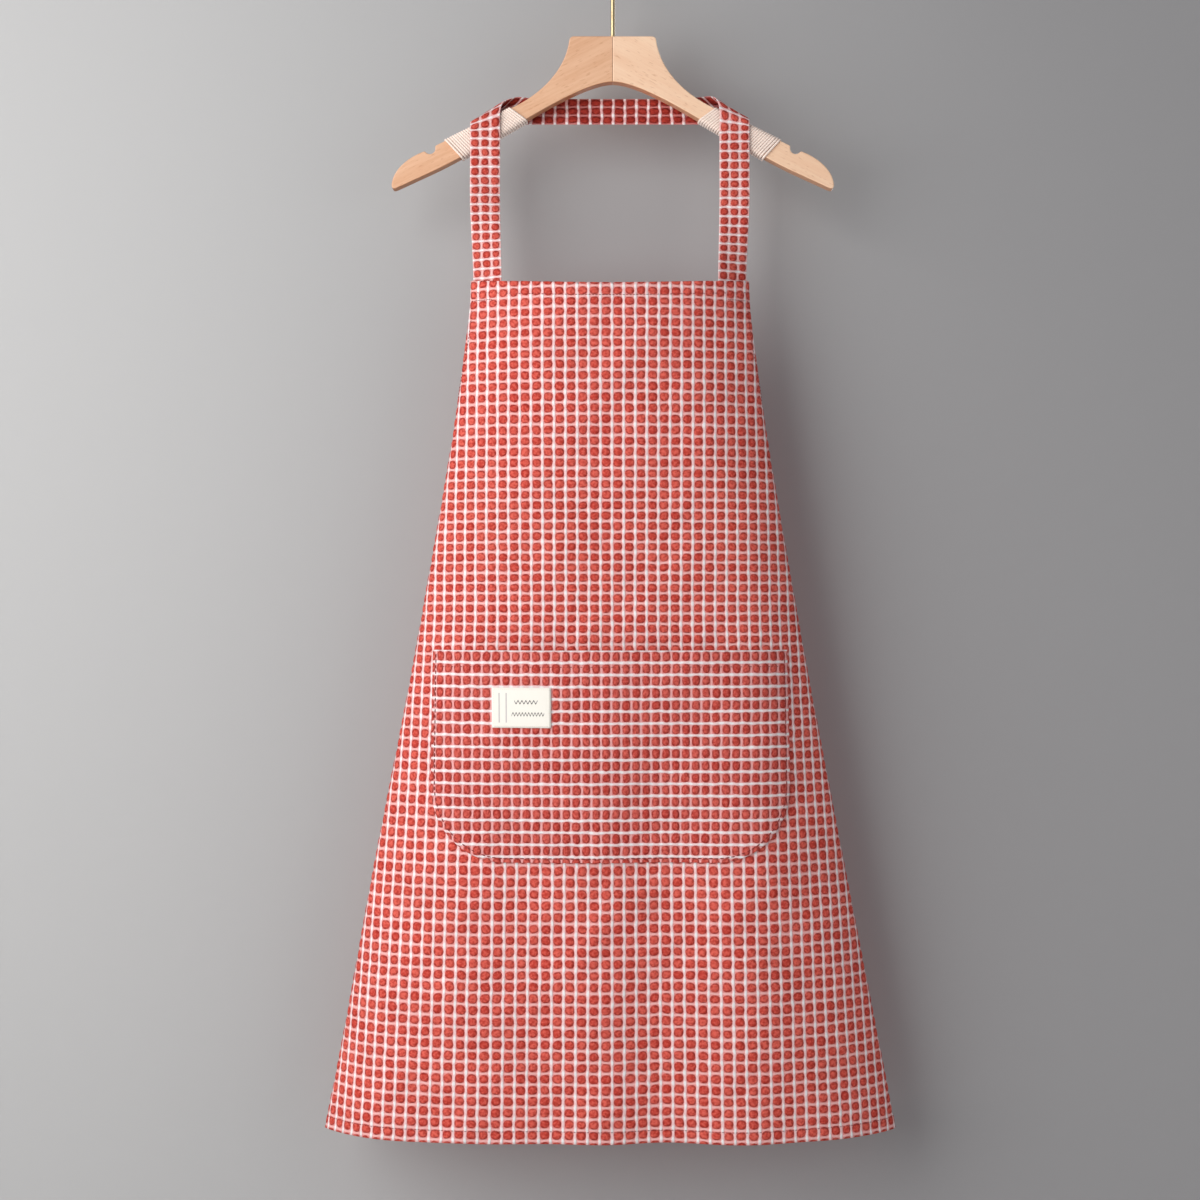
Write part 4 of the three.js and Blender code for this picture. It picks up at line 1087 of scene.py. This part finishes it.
# %% Stitches of the pocket and the label
round_corner = np.linspace(0, np.pi / 2, 20)
inner, low = POCKET_HALF - SEAM_INSET, POCKET_LOW - SEAM_INSET
corner = POCKET_CORNER - SEAM_INSET
right_across = np.concatenate(
    [np.full(12, inner), inner - corner * (1 - np.cos(round_corner)), [40, 0]]
)
right_down = np.concatenate([
    np.linspace(POCKET_TOP + 3, low - corner - 1, 12),
    low - corner * (1 - np.sin(round_corner)),
    [low, low],
])
edge_across = np.concatenate([right_across, -right_across[-2::-1]])
edge_down = np.concatenate([right_down, right_down[-2::-1]])
fine = np.linspace(0, len(edge_across) - 1, 400)
edge_across = np.interp(fine, np.arange(len(edge_across)), edge_across)
edge_down = np.interp(fine, np.arange(len(edge_down)), edge_down)
edge = on_pocket(edge_across, edge_down)
stitch_row("stitches_pocket_edge", edge, "pocket_edge_stitch", 4.4, 5.4, radius=0.55)
mouth = on_pocket(wide * (POCKET_HALF - 8), POCKET_TOP + MOUTH_TURNED)
stitch_row("stitches_pocket_mouth", mouth, "pocket_mouth_stitch")


def label_seam():
    inset = 1.8
    left, right = LABEL_LEFT + inset, LABEL_LEFT + LABEL_WIDTH - inset
    high, base = LABEL_TOP + inset, LABEL_TOP + LABEL_HEIGHT - inset
    corners = np.array([[left, high], [right, high], [right, base], [left, base], [left, high]])
    where = np.linspace(0, 4, 160)
    across, down = (np.interp(where, np.arange(5), corners[:, axis]) for axis in (0, 1))
    return hang(across, down, label_out(across, down) + ON_LABEL)


stitch_row(
    "stitches_label", label_seam(), "label_stitch", 1.5, 2.0, radius=0.2, thread=CREAM_THREAD
)

# %% [markdown]
# ## The hanger
# Each half is a flat board with a curved outline and softly rounded edges. The outline
# joins Bezier curves, an arc for the notch and straight lines. It is made into even
# steps and smoothed a little, so that the sawn corners are sanded, and a Bevel rounds
# the edges of both faces but not the glue line, where the halves meet.

# %% Outline of one half
BLOCK_HALF, BLOCK_CORNER, BLOCK_HEIGHT = 43.0, 4.0, 45.6
NOTCH_FROM_TIP, NOTCH_RADIUS = 38.2, 5.6
WOOD_TOP = -HOOK_HEIGHT


def bezier(*points, steps=40):
    """Weighted means of the control points with binomial weights."""
    p, t = np.asarray(points, float), np.linspace(0, 1, steps)[:, None]
    order = len(p) - 1
    weights = [math.comb(order, k) * t**k * (1 - t) ** (order - k) for k in range(order + 1)]
    return sum(weight * point for weight, point in zip(weights, p))


GLUE = 0.03
OUTLINE_POINTS, SANDING_ROUNDS, SANDED_EDGE = 620, 3, 1.1


def half_outline():
    crown = WOOD_TOP - BLOCK_HEIGHT
    notch_x = ARM_TIP - NOTCH_FROM_TIP
    notch_end = notch_x + NOTCH_RADIUS * math.cos(ARM_ANGLE)
    elbow, inner_end = ARM_TIP - ELBOW_FROM_TIP, ARM_START - 9
    place = lambda x, z: (x, float(z))
    start = place(ARM_START, arm_top(ARM_START))
    turn = np.linspace(math.pi - ARM_ANGLE, 2 * math.pi - ARM_ANGLE, 30)[:, None]
    notch = NOTCH_RADIUS * np.hstack([np.cos(turn), np.sin(turn)])
    notch = np.array([notch_x, arm_top(notch_x)]) + notch
    tip_low = float(arm_bottom(ARM_TIP))
    lip = place(notch_end + 3, arm_top(notch_end) - 1.3)
    nose = place(ARM_TIP, tip_low + 5.5)
    heel = place(ARM_TIP - 5, arm_bottom(ARM_TIP - 5))
    bend_from = place(elbow + 22, arm_bottom(elbow + 22))
    bend_to = place(elbow - 34, arm_bottom(elbow - 34))
    shoulder = (BLOCK_HALF + 0.4, WOOD_TOP - BLOCK_CORNER)
    lip_pull = (mix(notch_end, ARM_TIP, 0.55), float(arm_top(notch_end)) - 7.5)
    foot = place(inner_end, arm_bottom(inner_end))
    pieces = [
        [(GLUE, WOOD_TOP), (BLOCK_HALF - BLOCK_CORNER, WOOD_TOP)],
        bezier((BLOCK_HALF - BLOCK_CORNER, WOOD_TOP), (BLOCK_HALF, WOOD_TOP), shoulder),
        bezier(
            shoulder, (BLOCK_HALF + 4, WOOD_TOP - 30),
            (mix(BLOCK_HALF, ARM_START, 0.44), start[1] + 15.5), start,
        ),
        notch,
        bezier(lip, lip_pull, (ARM_TIP - 1, tip_low + 20), nose),
        bezier(nose, (ARM_TIP, tip_low), heel),
        [bend_from],
        bezier(bend_from, place(elbow, arm_bottom(elbow)), bend_to),
        bezier(foot, (24, crown), (GLUE, crown)),
    ]
    outline = np.vstack([np.asarray(piece, float) for piece in pieces])
    flat = np.stack([outline[:, 0], np.zeros(len(outline)), outline[:, 1]], -1)
    flat = even(flat, OUTLINE_POINTS)
    ends = flat[[0, -1]].copy()
    for _ in range(SANDING_ROUNDS):
        flat[1:-1] = (flat[:-2] + 2 * flat[1:-1] + flat[2:]) / 4
    flat[[0, -1]] = ends
    return flat


def hanger_half(name, side):
    rim = half_outline() * np.array([side, 1, 1])
    count = len(rim)
    front = rim + np.array([0, -WOOD_HALF, 0])
    back = rim + np.array([0, WOOD_HALF, 0])
    k = np.arange(count)
    walls = np.stack([k, (k + 1) % count, (k + 1) % count + count, k + count], -1)
    caps = [k[::-1].tolist(), (k + count).tolist()]
    faces = walls.tolist() + caps
    if side > 0:
        faces = [face[::-1] for face in faces]
    piece = make_piece(name, np.vstack([front, back]), faces)
    mesh = piece.data
    ends = np.zeros(len(mesh.edges) * 2, int)
    mesh.edges.foreach_get("vertices", ends)
    ends = ends.reshape(-1, 2)
    places = np.vstack([front, back])[ends]
    on_face = np.abs(places[:, 0, 1] - places[:, 1, 1]) < 1e-6
    at_glue = (np.abs(places[..., 0]) < GAP).all(1)
    weight = mesh.attributes.new("bevel_weight_edge", "FLOAT", "EDGE")
    weight.data.foreach_set("value", (on_face & ~at_glue).astype(np.float32))
    bevel = piece.modifiers.new("sanded edge", "BEVEL")
    bevel.width, bevel.segments, bevel.limit_method = SANDED_EDGE * MM, 3, "WEIGHT"
    bevel.harden_normals = True
    return piece


for side, side_name, beech_finish in ((-1, "left", BEECH_LEFT), (1, "right", BEECH_RIGHT)):
    board = hanger_half("hanger_board_" + side_name, side)
    node = "hanger_" + side_name + "_half"
    settle(board, beech_finish, "hanger", "beech_" + side_name, node)

# %% [markdown]
# ## The hook
# A brass wire: a straight shank, a neck that leans out and a round bend. The tube's
# radius follows a profile, which gives the rounded tip and the upset lower end.

# %% Tubes
def tube(name, path, radius, sides):
    """Rings across a path in the plane of the front. The radius may change along it."""
    along = unit(np.gradient(path, axis=0))
    aside = unit(np.cross(np.broadcast_to([0.0, 1.0, 0.0], along.shape), along))
    upward = np.cross(along, aside)
    radius = np.broadcast_to(radius, len(path))[:, None, None]
    faces = [face[::-1] for face in tube_faces(len(path), sides)]
    return make_piece(name, path[:, None] + rings(aside, upward, sides) * radius, faces)


WIRE, BEND, NECK_BEND, TIP_ANGLE, SHANK_DEPTH = 2.1, 22.0, 10.0, 192.0, 26.0


def hook():
    centre = WIRE - BEND
    lean = math.acos(NECK_BEND / (BEND + NECK_BEND))
    neck_low = centre - (BEND + NECK_BEND) * math.sin(lean)

    def arc(x, z, radius, turn):
        return np.stack([x + radius * np.cos(turn), 0 * turn, z + radius * np.sin(turn)], -1)

    shank = np.linspace([0, 0, WOOD_TOP - SHANK_DEPTH], [0, 0, neck_low - 0.5], 60)
    neck = arc(NECK_BEND, neck_low, NECK_BEND, np.linspace(math.pi, math.pi - lean, 16))
    bend = arc(0, centre, BEND, np.linspace(-lean, math.radians(TIP_ANGLE), 90))
    path = np.vstack([shank, neck, bend[1:]])
    way = path[-1] - path[-2]
    way = way / np.linalg.norm(way)
    angle = np.linspace(0.2, 1.45, 7)[:, None]
    tip = path[-1] + way * WIRE * np.sin(angle)
    peen_at = np.array([2.4, 1.9, 1.2, 0.5, 0.05])
    peen = np.stack([0 * peen_at, 0 * peen_at, WOOD_TOP - SHANK_DEPTH - peen_at], -1)
    radius = np.concatenate(
        [[2.5, 3.2, 3.3, 3.2, 2.4], np.full(len(path), WIRE), WIRE * np.cos(angle[:, 0])]
    )
    return tube("brass_hook", np.vstack([peen, path, tip]), radius, sides=28)


settle(hook(), BRASS, "hook", "brass", "hook_wire")
sleeve = frame["nodes"]["swivel_sleeve"].data
sleeve.materials.clear()
sleeve.materials.append(BRASS)

# %% [markdown]
# ## The cord windings
# A cotton cord is wound tightly round each arm so that straps don't slip. One helix
# makes all the turns: its place round the arm is a rounded rectangle's outline, and
# its place along the arm grows with the turn number. The lower side lies nearer the
# middle of the hanger, so the turns slant.

# %% Windings
WINDING_START, WINDING_INSET, WINDING_SLANT, WINDING_FROM_NOTCH = 99.8, 1.2, 15.0, 15.3
CORD_THICK, CORD_SIDES, CORD_TWIST, TURNS, TURN_STEPS = 1.8, 8, 3.0, 29, 40
CORNER_SOFTNESS, CORD_SHARE = 0.30, 0.9506


def winding(name, side):
    """Going round once, the place is along a rounded rectangle whose sides are the arm's
    thickness and its slanted depth, each grown by half the cord."""
    end = ARM_TIP - NOTCH_FROM_TIP - WINDING_FROM_NOTCH
    t = np.linspace(0, TURNS, TURNS * TURN_STEPS + 1)
    first, last = WINDING_START + WINDING_INSET, end - WINDING_INSET
    spread = first + (last - first) * t / TURNS
    spread = spread + 0.5 * ease(t - TURNS + 1.6)
    low_x = spread - WINDING_SLANT
    high = np.stack([spread, arm_top(spread)], -1)
    low = np.stack([low_x, arm_bottom(low_x)], -1)
    centre, half_way = (high + low) / 2, (high - low) / 2
    depth = np.linalg.norm(half_way, axis=1)
    angle = t * 2 * np.pi
    soft = CORNER_SOFTNESS
    cos, sin = np.cos(angle), np.sin(angle)
    scale = (np.abs(cos) ** (2 / soft) + np.abs(sin) ** (2 / soft)) ** (-soft / 2)
    reach = GAP + CORD_THICK / 2
    up = cos * scale * (depth + reach) / depth
    y = sin * scale * (WOOD_HALF + reach)
    xz = centre + half_way * up[:, None]
    path = np.stack([side * xz[:, 0], y, xz[:, 1]], -1)
    middle = np.stack([side * centre[:, 0], 0 * y, centre[:, 1]], -1)
    along_arm = unit(np.array([side, 0, -ARM_SLOPE]))
    ahead = unit(np.gradient(path, axis=0))
    outward = unit(np.cross(ahead, np.broadcast_to(along_arm, ahead.shape)))
    outward = outward * np.sign((outward * (path - middle)).sum(1, keepdims=True))
    aside = unit(np.cross(ahead, outward))
    half_step = (last - first) / TURNS * math.hypot(1, ARM_SLOPE) / 2
    section = rings(aside * half_step * CORD_SHARE, outward * CORD_THICK / 2, CORD_SIDES)
    uv = grid_map(np.arange(CORD_SIDES) / CORD_SIDES, run_length(path) / CORD_TWIST)
    faces = tube_faces(len(path), CORD_SIDES)
    return make_piece(name, path[:, None] + section, faces, uv=uv)


for side, side_name in SIDES:
    wound = winding("wound_cord_" + side_name, side)
    settle(wound, COTTON_CORD, "hanger", "cotton_cord", "cord_winding_" + side_name)

# %% [markdown]
# ## Normals
# Faces have to point outwards. Closed pieces are checked by Blender,
# and an open sheet that Solidify closes is turned to face the front.

# %% Outward faces
def faces_back(shape):
    """True when the front faces of an open sheet point backwards, by area."""
    return sum(
        face.normal.y * face.calc_area()
        for face in shape.faces
        if abs(face.normal.y) > 0.5 and face.calc_center_median().y < 0
    ) > 0


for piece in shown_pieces():
    if piece.type != "MESH" or "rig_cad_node" in piece:
        continue
    shape = bmesh.new()
    shape.from_mesh(piece.data)
    if not any(edge.is_boundary for edge in shape.edges):
        bmesh.ops.recalc_face_normals(shape, faces=shape.faces)
    elif piece in (BODY, POCKET, LABEL) and faces_back(shape):
        bmesh.ops.reverse_faces(shape, faces=shape.faces)
    shape.to_mesh(piece.data)
    shape.free()
print("normals outwards")

# %% [markdown]
# ## The studio
# A plain pale floor and a grey wall behind the apron. The wall's colour has painted
# shade: darker towards the right and a little towards the bottom, for the light's
# falloff. It is seen from its front only, so that views from behind look through it. A
# large soft light stands near on the left, so the cloth darkens towards the right, and
# weaker ones fill the right and the back.

# %% Wall and floor
def wall_finish():
    f = Finish("studio_wall", roughness=0.95)
    x, _, z = f.split(f.coordinates())
    # painted shade: the wall's colour darkens to the right and a little downwards, standing in
    # for the light's falloff
    shade = (x * 0.85 + z * -0.08 + 0.45).step(0.0, 0.92)
    f.colour(f.blend(shade, (0.44, 0.44, 0.44), (0.34, 0.335, 0.34)))
    see_through = f.node("ShaderNodeBsdfTransparent")
    back = f.node("ShaderNodeNewGeometry").outputs["Backfacing"]
    sides = {0: back, 1: f.shader.outputs[0], 2: see_through.outputs[0]}
    both = f.node("ShaderNodeMixShader", inputs=sides)
    f.put(f.tree.nodes["Material Output"].inputs["Surface"], both.outputs[0])
    return f.material


def stage_sheet(name, low, high, finish):
    """A flat sheet between two corners, level or upright: the first way goes with x and
    the second with y and z together. It faces up, or towards the camera."""
    u, v = np.meshgrid([0.0, 1.0], [0.0, 1.0])
    low, high = np.asarray(low, float), np.asarray(high, float)
    share = np.stack([u, v, v], -1)
    faces = grid_faces(*u.shape)[:, ::-1].tolist()
    piece = make_piece(name, mix(low, high, share) / MM, faces)
    piece.data.materials.append(finish)
    piece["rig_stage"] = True
    return piece


floor_finish = Finish("studio_floor", roughness=0.9)
floor_finish.colour((0.72, 0.71, 0.70))
FLOOR, WALL = -1.55, 0.075
stage_sheet("studio_floor", (-4, -4, FLOOR), (4, 4, FLOOR), floor_finish.material)
wall = stage_sheet("studio_wall", (-3, WALL, FLOOR), (3, WALL, 1.6), wall_finish())
for ray in ("visible_diffuse", "visible_glossy", "visible_shadow", "visible_transmission"):
    setattr(wall, ray, False)

# %% Lights
MIDDLE = Vector((0, 0, -0.6))


def light(name, place, size, power, tint=(1, 1, 1)):
    """A square soft light that faces the middle of the apron."""
    data = bpy.data.lights.new(name, "AREA")
    data.shape, data.size, data.energy, data.color = "SQUARE", size, power, tint
    lamp = bpy.data.objects.new(name, data)
    lamp.location = place
    lamp.rotation_euler = (MIDDLE - Vector(place)).to_track_quat("-Z", "Y").to_euler()
    bpy.context.scene.collection.objects.link(lamp)


light("key", (-1.25, -1.2, -0.15), size=1.8, power=40, tint=(1, 0.985, 0.97))
light("fill", (1.9, -1.7, -0.5), size=1.6, power=8)
light("back", (0.9, 2.3, 0.4), size=1.6, power=30)
world = bpy.data.worlds.new("studio")
bpy.context.scene.world = world
world.use_nodes = True
sky = world.node_tree.nodes["Background"]
sky.inputs["Color"].default_value = (0.9, 0.93, 1.0, 1)
sky.inputs["Strength"].default_value = 0.22
print("lights placed")

# %% Sizes and finish
LOOKS_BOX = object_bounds()
({"cad": [list(map(float, corner)) for corner in CAD_BOX],
     "visual": [list(map(float, corner)) for corner in LOOKS_BOX]})
print("cad", CAD_BOX, "visual", LOOKS_BOX)
